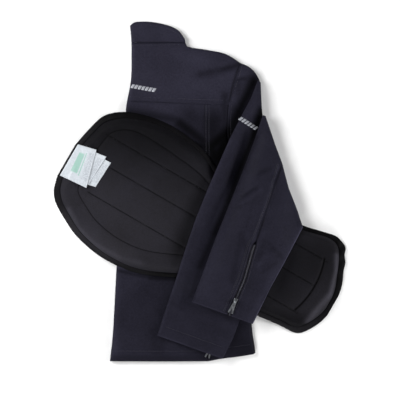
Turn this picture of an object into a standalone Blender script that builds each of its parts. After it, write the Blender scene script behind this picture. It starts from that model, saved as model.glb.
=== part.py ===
"""Equestrian softshell jacket, folded in half along its centre back and laid flat.

The near sleeve is folded over the body, the far sleeve comes round from behind and lies on
top of it, and the quilted back protector lies between the body and the sleeves.
Sizes are in millimetres and are turned to metres when a mesh is made.
"""

import math

import bmesh
import bpy
import numpy as np
from mathutils import Matrix, Vector
from mathutils.bvhtree import BVHTree

MM = 0.001

# Driving dimensions, in millimetres
WALL = 2.0                 # softshell cloth
SEAM = 0.35                # gap between pieces that are sewn together
CLEAR = 0.6                # air between a piece and what it lies on
CORE_TOP = 6.6             # height of the hidden layers
CORE_LAYERS = 4            # cloth layers that show at the edges of the core
CORE_INSET = 1.6           # how far the hidden layers stay inside the outer panels
LAYER_ROUND = 1.1          # how far a layer's edge is rounded in
FOLD_RADIUS = 7.6          # roll of the centre back fold
UNDER_TOP = 5.0            # height of the far sleeve's hidden length
UNDER_INSET = 3.2          # how far that length stays inside the sleeve's fold edge
SLEEVE_LOFT = 6.0          # thickness of a flattened sleeve
SLEEVE_REACH = 22.0        # a sleeve stays clear of what lies this near below it
SLEEVE_SAG = 0.01          # how readily it sinks between what carries it
PAD_CREST = 15.0           # protector thickness between seams
PAD_EDGE = 5.0             # protector thickness at its sewn edge
PAD_ROUND = 18.0           # width over which its edge is rounded
PAD_REACH = 24.0           # the protector stays clear of what lies this near below it
PAD_SAG = 0.02
GROOVE_DEPTH = 5.5         # quilting seams
GROOVE_WIDTH = 4.5
GROOVE_SIDE = 7.0          # from a quilting seam to the foam's full height
BINDING = 12.0             # width of the flat binding round the protector
BINDING_WALL = 2.4
LABEL_REACH = 12.0
LABEL_WALL = 0.8
LABEL_STEP = 1.55          # height from one label layer to the next
LABEL_SINK = 0.7           # the labels settle on the foam by this much
ZIP_WIDTH = 8.0
ZIP_WALL = 1.6

# Half back, laid flat: outlines as short curves of (x, y)
FOLD_EDGE = [(-180, -339), (-174, -281), (-168, -173), (-159, -17), (-149, 150), (-146, 187),
             (-139, 215), (-137, 245), (-137, 297)]
COLLAR_TOP = [(-140, 331), (-128, 338.4), (-100, 338.8), (-68, 333), (-45, 323), (-33, 311),
              (-29, 299)]
COLLAR_FOLD = [(-137, 297), (-138, 312), (-140, 331)]
COLLAR_FRONT = [(-29, 297), (-29.3, 300), (-31, 306)]
NECK_SEAM = [(-137, 297), (-90, 297.5), (-45, 298), (-29, 297)]
NECK_END = (-29, 296)
SHOULDER_YOKE = [(-24, 289), (12, 283), (44, 277), (62, 269), (80, 257)]
SHOULDER_CAP = [(80, 257), (96, 250), (108, 240), (116, 228), (120, 219)]
ARMHOLE = [(80, 257), (68, 219), (60, 193), (57, 173)]
ARMHOLE_LOW = [(57, 173), (55, 140), (56, 103)]
CAP_EDGE = [(120, 219), (122, 170), (118, 130), (104, 96)]
CAP_HEM = [(56, 103), (80, 96), (104, 96)]
YOKE_SEAM_LEFT = [(-146, 180), (-126, 179.5), (-40, 176), (10, 174)]
YOKE_SEAM_RIGHT = [(10, 174), (36, 173.5), (57, 173)]
BACK_SEAM = [(10, 174), (10, 83), (12, -117), (16, -339)]
SIDE_EDGE = [(56, 103), (68, 53), (82, -17), (94, -97), (102, -197), (105, -270), (112, -321)]
HEM_LEFT = [(-180, -339), (-80, -339.5), (16, -339)]
HEM_RIGHT = [(16, -339), (44, -334), (76, -330), (108, -325), (112, -321)]

# Far sleeve, inner edge of its hidden length on the floor
UNDER_INNER = [(178, -56), (150, -48), (128, -26), (112, 30), (112, 100), (122, 140)]

# Near sleeve: left edge x, y and right edge x, y at each section
NEAR_SLEEVE = [
    (115, 221, 121, 217),
    (102, 187, 123, 172),
    (86, 157, 126, 135),
    (60, 107, 140, 51),
    (46, 75, 147, 14),
    (18, 11, 150, -46),
    (-8, -53, 130, -103),
    (-30, -117, 108, -159),
    (-50, -181, 88, -232),
    (-72, -245, 66, -292),
    (-85, -287, 45, -333),
]

# Far sleeve: left edge x, y, right edge x, y and how far across the seam lies, at each section
FAR_SLEEVE = [
    (125, 152, 130, 150, 1.00),
    (110, 107, 150, 91, 1.00),
    (101, 83, 163, 57, 0.99),
    (86, 43, 176, 7, 0.74),
    (72, 9, 192, -34, 0.60),
    (60, -21, 205, -71, 0.50),
    (34, -85, 168, -141, 0.53),
    (10, -149, 140, -191, 0.60),
    (-16, -219, 105, -263, 0.61),
]
SEAM_START = 2.0           # section where the seam comes over the fold edge
ZIP_START = 5.75           # section where the seam opens into the wrist zip
FOLD_END = 4.4             # last section where the fold edge reaches the floor
FOLD_FOOT = 0.9            # the fold edge's height above the floor
TURN_UNDER = 12.0          # how far the free edge turns back under the sleeve

# Protector, in its own axes: u along it, v across it, with the upper and lower outline
PAD_ORIGIN = (-252, 87)
PAD_ANGLE = -30.0
PAD_ROWS = [
    (-1, 6, -64),
    (6, 42, -90),
    (16, 78, -106),
    (30, 97, -118),
    (54, 114, -132),
    (84, 126, -147),
    (116, 133, -156),
    (150, 136, -161),
    (184, 134, -161),
    (218, 128, -157),
    (252, 115, -147),
    (286, 99, -132),
    (320, 93, -116),
    (356, 90, -107),
    (400, 90, -104),
    (444, 92, -106),
    (480, 96, -107),
    (510, 103, -104),
    (540, 109, -101),
    (562, 104, -100),
    (578, 84, -93),
    (593, 50, -72),
    (602, 28, -52),
    (606, 8, -36),
]
# Quilting seams along the pad: v, first u and last u of each
PAD_SEAMS = [
    (56, 70, 552),
    (2, 90, 585),
    (-62, 75, 552),
]
CONTOUR_INSET = 36.0       # the rim seam of the wide lobe, measured in from the outline
CONTOUR_END = 300.0        # where the rim seam runs out
END_SEAM_WIDE = 46.0       # the cross seam near each end
END_SEAM_NARROW = 554.0
END_SEAM_HALF = 58.0
END_SEAM_BOW = 10.0
END_WIDE = (14.0, 60.0)    # over these lengths the seams gather towards the rounded ends
END_NARROW = (560.0, 592.0)

# Soft folds: start x, y, end x, y, half width and height of each
BODY_FOLDS = [
    (76, 250, 4, 232, 9, 0.8),
    (84, 210, 20, 120, 16, 0.9),
    (-128, 60, -150, -120, 10, 0.8),
    (-110, -190, -96, -320, 14, 1.2),
    (-40, -230, -52, -330, 12, 0.9),
]
NEAR_FOLDS = [
    (104, 170, 40, 20, 15, 5.0),
    (40, 20, -32, -180, 16, 6.5),
    (-32, -180, -50, -250, 15, 3.0),
]
FAR_FOLDS = [
    (120, 118, 60, -50, 11, 8.0),
    (60, -50, 4, -200, 11, 7.0),
    (178, -70, 120, -200, 14, 4.0),
    (152, 20, 176, -40, 16, 3.0),
]

# Sewn labels, lowest first: corners as x, y from the pad's edge round, and the area they share
LABELS = [
    ("label_care_lower", [(-226, 84), (-177, 57), (-208, 9), (-252, 22)]),
    ("label_care_middle", [(-232, 88), (-186, 69), (-221, 15), (-262, 26)]),
    ("label_care_top", [(-243, 94), (-206, 83), (-226, 7), (-279, 32)]),
]
LABEL_SPREAD = [(-245, 96), (-175, 60), (-206, 6), (-228, 5), (-281, 30)]

# Zip sliders and pulls, with the pull's outline as x from the hinge axis and half width
ZIP_SUNK = 0.5             # chain below the cloth beside it
SLIDER_AT = 7.6            # far sleeve section where the slider stands
SLIDER_LENGTH = 10.0
SLIDER_WIDTH = 8.0
SLIDER_WALL = 2.4
AXIS_RISE = 1.7            # hinge axis above the slider's top
BAIL_HALF = 1.9            # half the bail's window
BAIL_WALL = 0.9
BAIL_WIDTH = 2.0
EYE = (1.1, 3.9, 1.7)      # the pull's eye: near end, far end and half width
PULL_WALL = 1.6
PULL_RIM = [(-1.1, 2.7), (3.9, 3.0), (14.3, 3.9), (25.2, 5.4), (26.0, 4.8), (26.0, 2.6),
            (16.6, 0.7), (16.1, 0.0)]
PULL_HOLE = (10.9, 0.0, 1.2)
PULL_TILT = 6.0            # the pull slopes down to the cloth, in degrees
NEAR_PULL = (23.3, -307.3, 14.0, -331.6)   # near sleeve: hinge x, y and tip x, y

# Raster that carries heights over the whole layout
CELL = 4.0
RASTER_X = np.arange(-320.0, 320.1, CELL)
RASTER_Y = np.arange(-370.0, 370.1, CELL)
GRID_X, GRID_Y = np.meshgrid(RASTER_X, RASTER_Y)


# Curves

def curve_points(points, count, straight=False):
    """Points at even spacing along a smooth curve, or a polyline, through the given points."""
    knots = np.array(points, float)
    if not straight and len(knots) > 2:
        ends = np.vstack([2 * knots[0] - knots[1], knots, 2 * knots[-1] - knots[-2]])
        fine = []
        for i in range(1, len(ends) - 2):
            for t in np.linspace(0, 1, 12, endpoint=False):
                fine.append(spline_point(ends[i - 1], ends[i], ends[i + 1], ends[i + 2], t))
        fine.append(ends[-2])
        knots = np.array(fine)
    steps = np.hypot(*np.diff(knots, axis=0).T)
    along = np.concatenate([[0], np.cumsum(steps)])
    wanted = np.linspace(0, along[-1], count)
    return np.column_stack([np.interp(wanted, along, knots[:, k]) for k in range(2)])


def spline_point(before, start, end, after, t):
    """Catmull and Rom cubic between start and end."""
    return 0.5 * (2 * start + (end - before) * t
                  + (2 * before - 5 * start + 4 * end - after) * t ** 2
                  + (3 * start - before - 3 * end + after) * t ** 3)


def table_row(table, position, straight=False):
    """All columns of a table read at a position between its rows."""
    rows = np.array(table, float)
    index = int(min(max(math.floor(position), 0), len(rows) - 2))
    t = position - index
    if straight:
        return rows[index] * (1 - t) + rows[index + 1] * t
    before = rows[max(index - 1, 0)]
    after = rows[min(index + 2, len(rows) - 1)]
    return spline_point(before, rows[index], rows[index + 1], after, t)


def ease(value, low, high):
    """Smooth step from 0 at low to 1 at high."""
    t = np.clip((np.asarray(value, float) - low) / (high - low), 0, 1)
    return t * t * (3 - 2 * t)


# Heights on the raster

def inside(polygon, x, y):
    """Which points lie inside a closed outline."""
    result = np.zeros(np.shape(x), bool)
    x0, y0 = polygon[-1]
    for x1, y1 in polygon:
        if y1 != y0:
            crosses = (y0 > y) != (y1 > y)
            result ^= crosses & (x < (x1 - x0) * (y - y0) / (y1 - y0) + x0)
        x0, y0 = x1, y1
    return result


def edge_distance(line, x, y):
    """Distance from points to a polyline."""
    x = np.asarray(x, float)
    y = np.asarray(y, float)
    nearest = np.full(x.shape, 1e9)
    for (x0, y0), (x1, y1) in zip(line[:-1], line[1:]):
        length_squared = (x1 - x0) ** 2 + (y1 - y0) ** 2 + 1e-9
        t = np.clip(((x - x0) * (x1 - x0) + (y - y0) * (y1 - y0)) / length_squared, 0, 1)
        nearest = np.minimum(nearest, np.hypot(x - x0 - t * (x1 - x0), y - y0 - t * (y1 - y0)))
    return nearest


def fold_heights(folds, x, y):
    """Soft ridges and troughs that fade out towards both ends."""
    total = np.zeros(np.shape(x))
    for x0, y0, x1, y1, half_width, height in folds:
        length = math.hypot(x1 - x0, y1 - y0)
        along = ((x - x0) * (x1 - x0) + (y - y0) * (y1 - y0)) / length
        across = ((x - x0) * (y1 - y0) - (y - y0) * (x1 - x0)) / length
        fade = ease(along, -0.18 * length, 0.18 * length)
        fade = fade * (1 - ease(along, 0.82 * length, 1.18 * length))
        total += height * fade * np.exp(-(across / half_width) ** 2)
    return total


def shifted(field, row_step, column_step):
    """The raster moved by whole cells, with its border repeated."""
    rows, columns = field.shape
    row_index = np.clip(np.arange(rows) + row_step, 0, rows - 1)
    column_index = np.clip(np.arange(columns) + column_step, 0, columns - 1)
    return field[np.ix_(row_index, column_index)]


def spread_max(field, radius):
    """Highest value within a radius, so that a coarse mesh above stays clear."""
    reach = int(math.ceil(radius / CELL))
    result = field.copy()
    for i in range(-reach, reach + 1):
        for j in range(-reach, reach + 1):
            if i * i + j * j <= (radius / CELL) ** 2 + 0.5:
                result = np.maximum(result, shifted(field, i, j))
    return result


def top_heights(objects):
    """Height of the highest surface over each raster cell, the floor where there is none."""
    depsgraph = bpy.context.evaluated_depsgraph_get()
    points = []
    faces = []
    for item in objects:
        mesh = item.evaluated_get(depsgraph).data
        first = len(points)
        points += [item.matrix_world @ vertex.co for vertex in mesh.vertices]
        faces += [[first + index for index in face.vertices] for face in mesh.polygons]
    tree = BVHTree.FromPolygons(points, faces)
    heights = np.zeros(GRID_X.shape)
    for i, y in enumerate(RASTER_Y):
        for j, x in enumerate(RASTER_X):
            hit = tree.ray_cast((x * MM, y * MM, 1.0), (0, 0, -1))
            if hit[0] is not None:
                heights[i, j] = hit[0].z / MM
    return heights


def drape(objects, outline, reach, rounds, sag, folds=()):
    """Underside of a sheet laid over the objects inside an outline."""
    floor = spread_max(top_heights(objects), reach) + CLEAR
    mask = spread_max(inside(outline, GRID_X, GRID_Y).astype(float), 3 * CELL)
    height = floor.copy()
    for _ in range(rounds):
        total = np.zeros(height.shape)
        count = np.zeros(height.shape)
        for step in ((1, 0), (-1, 0), (0, 1), (0, -1)):
            total += shifted(height * mask, *step)
            count += shifted(mask, *step)
        mean = total / np.maximum(count, 1e-6)
        height = np.where(mask > 0, np.maximum(floor, mean - sag), floor)
    return height + fold_heights(folds, GRID_X, GRID_Y)


def sample(field, x, y):
    """Raster height between its cells."""
    column = np.clip((np.asarray(x, float) - RASTER_X[0]) / CELL, 0, len(RASTER_X) - 1.001)
    row = np.clip((np.asarray(y, float) - RASTER_Y[0]) / CELL, 0, len(RASTER_Y) - 1.001)
    i = row.astype(int)
    j = column.astype(int)
    fy = row - i
    fx = column - j
    low = field[i, j] * (1 - fx) + field[i, j + 1] * fx
    high = field[i + 1, j] * (1 - fx) + field[i + 1, j + 1] * fx
    return low * (1 - fy) + high * fy


# Objects

def make_material(name, colour, roughness, metallic=0.0):
    """Principled material from an sRGB colour in hex."""
    material = bpy.data.materials.new(name)
    material.use_nodes = True
    channels = [int(colour[i:i + 2], 16) / 255 for i in (0, 2, 4)]
    linear = [c / 12.92 if c <= 0.04045 else ((c + 0.055) / 1.055) ** 2.4 for c in channels]
    shader = material.node_tree.nodes["Principled BSDF"]
    shader.inputs["Base Color"].default_value = (*linear, 1.0)
    shader.inputs["Roughness"].default_value = roughness
    shader.inputs["Metallic"].default_value = metallic
    return material


def add_object(name, work, material, collection):
    """Turn a bmesh in millimetres into an object in metres."""
    bmesh.ops.scale(work, vec=(MM, MM, MM), verts=work.verts)
    mesh = bpy.data.meshes.new(name)
    work.to_mesh(mesh)
    work.free()
    item = bpy.data.objects.new(name, mesh)
    item.data.materials.append(material)
    collection.objects.link(item)
    return item


def grid_mesh(points):
    """Open surface from a primitive grid whose vertices take the points' places."""
    columns, rows = points.shape[:2]
    work = bmesh.new()
    bmesh.ops.create_grid(work, x_segments=columns - 1, y_segments=rows - 1, size=1.0)
    for vertex in work.verts:
        i = round((vertex.co.x + 1) / 2 * (columns - 1))
        j = round((vertex.co.y + 1) / 2 * (rows - 1))
        vertex.co = points[i, j]
    bmesh.ops.recalc_face_normals(work, faces=work.faces)
    return work


def add_wall(item, thickness, offset):
    """Solidify an open surface into a cloth wall."""
    solid = item.modifiers.new("wall", "SOLIDIFY")
    solid.thickness = thickness * MM
    solid.offset = offset
    solid.use_rim = True


def face_up(work):
    """Turn an open surface so that its faces look up."""
    work.normal_update()
    if sum(face.normal.z * face.calc_area() for face in work.faces) < 0:
        bmesh.ops.reverse_faces(work, faces=work.faces)


def ring_stack(rings):
    """Closed solid from outline rings of equal count, lowest first."""
    work = tube_mesh(rings, False)
    edges = [edge for edge in work.edges if edge.is_boundary]
    bmesh.ops.holes_fill(work, edges=edges, sides=0)
    bmesh.ops.recalc_face_normals(work, faces=work.faces)
    return work


def inset_outline(outline, distance):
    """Closed outline moved inwards, each edge by the same distance."""
    points = np.array(outline, float)
    edge = np.roll(points, -1, axis=0) - points
    edge /= np.maximum(np.hypot(edge[:, 0], edge[:, 1]), 1e-9)[:, None]
    x, y = points[:, 0], points[:, 1]
    area = np.sum(x * np.roll(y, -1) - np.roll(x, -1) * y)
    after = np.column_stack([-edge[:, 1], edge[:, 0]]) * (1 if area > 0 else -1)
    before = np.roll(after, 1, axis=0)
    mitre = (after + before) / np.maximum(1 + np.sum(after * before, axis=1), 0.5)[:, None]
    return points + mitre * distance


def layered_solid(name, outline, inset, layers, top, material, collection):
    """Rounded solid whose edge shows the layers of cloth in it."""
    rings = []
    step = top / layers
    for layer in range(layers):
        for share, extra in ((0.0, LAYER_ROUND), (0.22, 0.0), (0.78, 0.0), (1.0, LAYER_ROUND)):
            if layer > 0 and share == 0.0:
                continue
            height = step * (layer + share)
            edge = inset_outline(outline, inset + extra)
            rings.append([(x, y, height) for x, y in edge])
    return add_object(name, ring_stack(rings), material, collection)


# Body

def coons(left, right, bottom, top, columns, rows):
    """Surface points between four boundary curves."""
    edge_left = curve_points(left, rows)
    edge_right = curve_points(right, rows)
    edge_bottom = curve_points(bottom, columns)
    edge_top = curve_points(top, columns)
    s = np.linspace(0, 1, columns)[:, None, None]
    t = np.linspace(0, 1, rows)[None, :, None]
    ruled = (1 - s) * edge_left[None] + s * edge_right[None]
    cross = (1 - t) * edge_bottom[:, None] + t * edge_top[:, None]
    corners = ((1 - s) * (1 - t) * edge_left[0] + s * (1 - t) * edge_right[0]
               + (1 - s) * t * edge_left[-1] + s * t * edge_right[-1])
    return ruled + cross - corners


def fold_roll(flat, insets):
    """Replace the first column by the roll of the centre back fold, from the floor side up."""
    edge = flat[0]
    inner = flat[1]
    direction = inner - edge
    direction /= np.hypot(direction[:, 0], direction[:, 1])[:, None]
    columns = [edge + direction * inset for inset in insets]
    return np.concatenate([np.array(columns), flat[1:]])


def body_height(x, y, rolled):
    """Underside of the outer panels, rolled down at the centre back fold."""
    height = CORE_TOP + CLEAR + np.maximum(fold_heights(BODY_FOLDS, x, y), 0)
    if rolled:
        inset = edge_distance(curve_points(FOLD_EDGE + COLLAR_FOLD[1:], 60), x, y) - WALL
        roll = np.clip(1 - inset / FOLD_RADIUS, 0, 1)
        drop = (CORE_TOP - 0.2) * (1 - np.sqrt(np.maximum(1 - roll ** 2, 0)))
        height = height - drop
    return height


def body_panel(name, curves, size, material, collection, rolled=False):
    """Cloth panel of the folded body between its seams."""
    left, right, bottom, top = curves
    flat = coons(left, right, bottom, top, *size)
    if rolled:
        flat = fold_roll(flat, [WALL + FOLD_RADIUS * share for share in (0, 0.07, 0.29, 1)])
    inset = inset_outline(grid_border(flat), SEAM / 2)
    columns, rows = flat.shape[:2]
    flat[:, 0] = inset[:columns]
    flat[-1, :] = inset[columns - 1:columns - 1 + rows]
    flat[:, -1] = inset[columns + rows - 2:2 * columns + rows - 2][::-1]
    flat[0, 1:-1] = inset[2 * columns + rows - 2:][::-1]
    height = body_height(flat[..., 0], flat[..., 1], rolled)
    work = grid_mesh(np.dstack([flat, height]))
    face_up(work)
    item = add_object(name, work, material, collection)
    add_wall(item, WALL, 1.0)
    return item


def build_body(materials, collection):
    """Hidden layers, back panels, collar and the near sleeve's cap."""
    cloth = materials["softshell"]
    roll = WALL + FOLD_RADIUS - CORE_INSET
    loop = np.concatenate([
        curve_points(FOLD_EDGE, 15) + (roll, 0),
        curve_points(COLLAR_TOP, 10),
        curve_points(SHOULDER_YOKE + SHOULDER_CAP[1:], 11),
        curve_points(CAP_EDGE, 5)[1:],
        curve_points(SIDE_EDGE[2:], 9),
        curve_points(HEM_RIGHT[::-1] + HEM_LEFT[-2::-1], 10)[1:],
    ])
    fold_x = np.interp(loop[:, 1], *np.array(FOLD_EDGE, float).T[::-1])
    outline = loop[loop[:, 0] > fold_x + roll - 0.5]
    core = layered_solid("body_core", outline, CORE_INSET, CORE_LAYERS, CORE_TOP,
                         materials["lining"], collection)
    yoke_fold = [YOKE_SEAM_LEFT[0]] + FOLD_EDGE[6:]
    lower_fold = FOLD_EDGE[:5] + [YOKE_SEAM_LEFT[0]]
    yoke_top = NECK_SEAM[:-1] + [NECK_END] + SHOULDER_YOKE
    items = [core]
    items.append(body_panel(
        "back_yoke", (yoke_fold, ARMHOLE[::-1], YOKE_SEAM_LEFT[:-1] + YOKE_SEAM_RIGHT, yoke_top),
        (16, 8), cloth, collection, rolled=True))
    items.append(body_panel(
        "back_centre_panel", (lower_fold, BACK_SEAM[::-1], HEM_LEFT, YOKE_SEAM_LEFT),
        (10, 20), cloth, collection, rolled=True))
    items.append(body_panel(
        "back_side_panel", (BACK_SEAM[::-1], (ARMHOLE_LOW + SIDE_EDGE[1:])[::-1],
                            HEM_RIGHT[:-1], YOKE_SEAM_RIGHT),
        (7, 22), cloth, collection))
    items.append(body_panel(
        "stand_collar", (COLLAR_FOLD, COLLAR_FRONT, NECK_SEAM, COLLAR_TOP[:-2] + COLLAR_FRONT[-1:]),
        (11, 5), cloth, collection, rolled=True))
    items.append(body_panel(
        "near_sleeve_cap", ((ARMHOLE + ARMHOLE_LOW[1:])[::-1], CAP_EDGE[::-1], CAP_HEM,
                            SHOULDER_CAP),
        (7, 11), cloth, collection))
    return items


# Protector

def pad_frame():
    """Origin and the two axes of the protector in the layout."""
    angle = math.radians(PAD_ANGLE)
    along = np.array([math.cos(angle), math.sin(angle)])
    across = np.array([-along[1], along[0]])
    return np.array(PAD_ORIGIN, float), along, across


def pad_place(u, v):
    """Layout x and y of a point in the pad's axes."""
    origin, along, across = pad_frame()
    return origin + np.multiply.outer(u, along) + np.multiply.outer(v, across)


def pad_outline(inset):
    """Stations along the pad with the upper and lower edge, moved in from the outline."""
    stations = np.concatenate([np.linspace(0, 3, 7), np.arange(3.75, 19.6, 0.75),
                               np.linspace(20, len(PAD_ROWS) - 1, 8)])
    rows = np.array([table_row(PAD_ROWS, s) for s in stations])
    middle = (rows[0, 0] + rows[-1, 0]) / 2
    scale = 1 - 2 * inset / (rows[-1, 0] - rows[0, 0])
    u = middle + (rows[:, 0] - middle) * scale
    return u, rows[:, 1] - inset, rows[:, 2] + inset


def pad_lanes(u, upper, lower):
    """The v of each lengthwise line of the pad at one station, edge to edge."""
    width = upper - lower
    blend = float(ease(u, *END_WIDE) * (1 - ease(u, *END_NARROW)))
    rim = CONTOUR_INSET - BINDING
    low, middle, high = sorted(row[0] for row in PAD_SEAMS)
    ideal = [lower, lower + PAD_EDGE, lower + PAD_ROUND - PAD_EDGE, lower + rim - GROOVE_SIDE,
             lower + rim, low - GROOVE_SIDE, low, low + GROOVE_SIDE, (low + middle) / 2,
             middle - GROOVE_SIDE, middle, middle + GROOVE_SIDE, (middle + high) / 2,
             high - GROOVE_SIDE, high, high + GROOVE_SIDE, upper - rim, upper - rim + GROOVE_SIDE,
             upper - PAD_ROUND + PAD_EDGE, upper - PAD_EDGE, upper]
    even = [lower + width * i / (len(ideal) - 1) for i in range(len(ideal))]
    least = width / (len(ideal) - 1) * 0.3
    lanes = [even[i] * (1 - blend) + ideal[i] * blend for i in range(len(ideal))]
    for i in range(1, len(lanes) // 2 + 1):
        lanes[i] = max(lanes[i], lanes[i - 1] + least)
    for i in range(len(lanes) - 2, len(lanes) // 2, -1):
        lanes[i] = min(lanes[i], lanes[i + 1] - least)
    for i in range(len(lanes) // 2 + 1, len(lanes)):
        lanes[i] = max(lanes[i], lanes[i - 1] + least * 0.5)
    return lanes


def pad_thickness(u, v, edge):
    """Foam thickness with its rounded rim and the quilting seams pressed in."""
    rise = 1 - (1 - np.clip(edge / PAD_ROUND, 0, 1)) ** 2
    thickness = PAD_EDGE + (PAD_CREST - PAD_EDGE) * rise
    groove = np.zeros(np.shape(u))
    for seam_v, first, last in PAD_SEAMS:
        run = ease(u, first - 12, first + 6) * (1 - ease(u, last - 6, last + 12))
        groove = np.maximum(groove, run * np.exp(-((v - seam_v) / GROOVE_WIDTH) ** 2))
    rim = CONTOUR_INSET - BINDING
    run = ease(u, 30, 60) * (1 - ease(u, CONTOUR_END - 40, CONTOUR_END))
    groove = np.maximum(groove, run * np.exp(-((edge - rim) / GROOVE_WIDTH) ** 2))
    for end, bow in ((END_SEAM_WIDE, END_SEAM_BOW), (END_SEAM_NARROW, -END_SEAM_BOW)):
        reach = 1 - ease(np.abs(v), END_SEAM_HALF, END_SEAM_HALF + 12)
        curve = end + bow * (v / END_SEAM_HALF) ** 2
        groove = np.maximum(groove, reach * np.exp(-((u - curve) / (2 * GROOVE_WIDTH)) ** 2))
    return thickness - GROOVE_DEPTH * groove * ease(edge, 2, 14)


def closed_slab(bottom, top):
    """Closed solid between two grids of points of the same size."""
    columns, rows = bottom.shape[:2]
    work = bmesh.new()
    bmesh.ops.create_grid(work, x_segments=columns - 1, y_segments=rows - 1, size=1.0)
    result = bmesh.ops.extrude_face_region(work, geom=list(work.faces))
    raised = [item for item in result["geom"] if isinstance(item, bmesh.types.BMVert)]
    bmesh.ops.translate(work, vec=(0, 0, 1), verts=raised)
    for vertex in work.verts:
        i = round((vertex.co.x + 1) / 2 * (columns - 1))
        j = round((vertex.co.y + 1) / 2 * (rows - 1))
        vertex.co = top[i, j] if vertex.co.z > 0.5 else bottom[i, j]
    bmesh.ops.recalc_face_normals(work, faces=work.faces)
    return work


def build_protector(materials, collection, below):
    """Quilted pad, the binding round it and its labels."""
    outer = pad_grid(0.0)[0]
    base = drape(below, grid_border(outer), PAD_REACH, 260, PAD_SAG)
    place, stations, lanes = pad_grid(BINDING + SEAM)
    outline = grid_border(place)
    edge = edge_distance(np.vstack([outline, outline[:1]]), place[..., 0], place[..., 1])
    bottom = sample(base, place[..., 0], place[..., 1])
    top = bottom + pad_thickness(stations, lanes, edge)
    work = closed_slab(np.dstack([place, bottom]), np.dstack([place, top]))
    pad = add_object("protector_pad", work, materials["quilt"], collection)
    binding = build_binding(grid_border(pad_grid(BINDING)[0]), grid_border(outer), base,
                            materials["binding"], collection)
    items = [pad, binding]
    spread = np.array(LABEL_SPREAD, float)
    field = drape(below + items, spread, LABEL_REACH, 120, 0.0) - LABEL_SINK
    for level, (name, corners) in enumerate(LABELS):
        height = field + level * LABEL_STEP
        items.append(build_label(name, corners, height, materials["label"], collection))
    return items


def pad_grid(inset):
    """Places on the pad for every station and lane, with their u and v."""
    u, upper, lower = pad_outline(inset)
    lanes = np.array([pad_lanes(a, b, c) for a, b, c in zip(u, upper, lower)])
    stations = np.repeat(u[:, None], lanes.shape[1], axis=1)
    return pad_place(stations, lanes), stations, lanes


def grid_border(grid):
    """The closed border of a grid of points."""
    return np.concatenate([grid[:, 0], grid[-1, 1:], grid[-2::-1, -1], grid[0, -2:0:-1]])


def tube_mesh(rings, closed):
    """Surface through rings of equal count, joined end to end when it is closed."""
    work = bmesh.new()
    loops = [[work.verts.new(point) for point in ring] for ring in rings]
    pairs = list(zip(loops[:-1], loops[1:]))
    if closed:
        pairs.append((loops[-1], loops[0]))
    count = len(loops[0])
    for first, second in pairs:
        for i in range(count):
            j = (i + 1) % count
            work.faces.new((first[i], first[j], second[j], second[i]))
    bmesh.ops.recalc_face_normals(work, faces=work.faces)
    return work


def build_binding(inner, outer, base, material, collection):
    """Flat fabric band sewn round the pad."""
    rings = []
    for a, b in zip(inner, outer):
        low = float(sample(base, *b)) + 0.2
        high = float(sample(base, *a)) + 0.6
        rings.append([(*a, high), (*b, low), (*b, low + BINDING_WALL * 0.7),
                      (*(0.7 * a + 0.3 * b), high + BINDING_WALL), (*a, high + BINDING_WALL)])
    return add_object("protector_binding", tube_mesh(rings, True), material, collection)


def build_label(name, corners, field, material, collection):
    """One woven label layer lying on the pad."""
    quad = np.array(corners, float)
    s = np.linspace(0, 1, 8)[:, None, None]
    t = np.linspace(0, 1, 8)[None, :, None]
    flat = ((1 - s) * (1 - t) * quad[0] + s * (1 - t) * quad[1]
            + s * t * quad[2] + (1 - s) * t * quad[3])
    height = sample(field, flat[..., 0], flat[..., 1])
    work = grid_mesh(np.dstack([flat, height]))
    face_up(work)
    item = add_object(name, work, material, collection)
    add_wall(item, LABEL_WALL, 1.0)
    return item


# Sleeves

def sleeve_point(row, base, across):
    """Point on the outside of a flattened sleeve.

    across runs from 0 at the left edge to 1 at the right edge over the top, and from 0 to -1
    underneath. Past 1 it goes down round the fold edge or back under the free edge.
    """
    left = np.array(row[0:2])
    right = np.array(row[2:4])
    width = math.hypot(*(right - left))
    share = min(abs(across), 1.0)
    place = left + (right - left) * share
    half = SLEEVE_LOFT / 2
    reach = min(share, 1 - share) * width / half
    lift = math.sqrt(max(1 - (1 - min(reach, 1)) ** 2, 0))
    height = float(sample(base, *place)) + half + (half if across >= 0 else -half) * lift
    return np.array([place[0], place[1], height])


def fold_wrap(row, base, turn, is_fold):
    """Point past the right edge: down the fold to the floor, or back under the free edge."""
    left = np.array(row[0:2])
    right = np.array(row[2:4])
    inward = (left - right) / math.hypot(*(right - left))
    start = float(sample(base, *right)) + SLEEVE_LOFT / 2
    down = np.array([*right, start + (FOLD_FOOT - start) * turn])
    place = right + inward * TURN_UNDER * turn
    under = np.array([*place, float(sample(base, *place)) + SLEEVE_LOFT / 2 * (1 - turn)])
    return down * is_fold + under * (1 - is_fold)


def edge_stops(width, count):
    """Shares across a sleeve, close together where it rolls round its edges."""
    near = [0.0, 0.7 / width, SLEEVE_LOFT / 2 / width]
    between = np.linspace(near[-1], 1 - near[-1], count)[1:-1]
    return near + list(between) + [1 - value for value in near[::-1]]


def build_near_sleeve(materials, collection, below):
    """The near sleeve as one flattened tube, open at both ends."""
    rows = [table_row(NEAR_SLEEVE, p, True) for p in np.linspace(0, len(NEAR_SLEEVE) - 1, 24)]
    outline = [row[:2] for row in rows] + [row[2:4] for row in rows[::-1]]
    base = drape(below, outline, SLEEVE_REACH, 90, SLEEVE_SAG, NEAR_FOLDS)
    rings = []
    for row in rows:
        width = math.hypot(row[2] - row[0], row[3] - row[1])
        over = edge_stops(width, 8)
        ring = [sleeve_point(row, base, share) for share in over]
        ring += [sleeve_point(row, base, -share) for share in over[-2:0:-1]]
        rings.append(ring)
    work = tube_mesh(rings, False)
    face_out(work)
    item = add_object("near_sleeve", work, materials["softshell"], collection)
    add_wall(item, WALL, -1.0)
    return item


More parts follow.
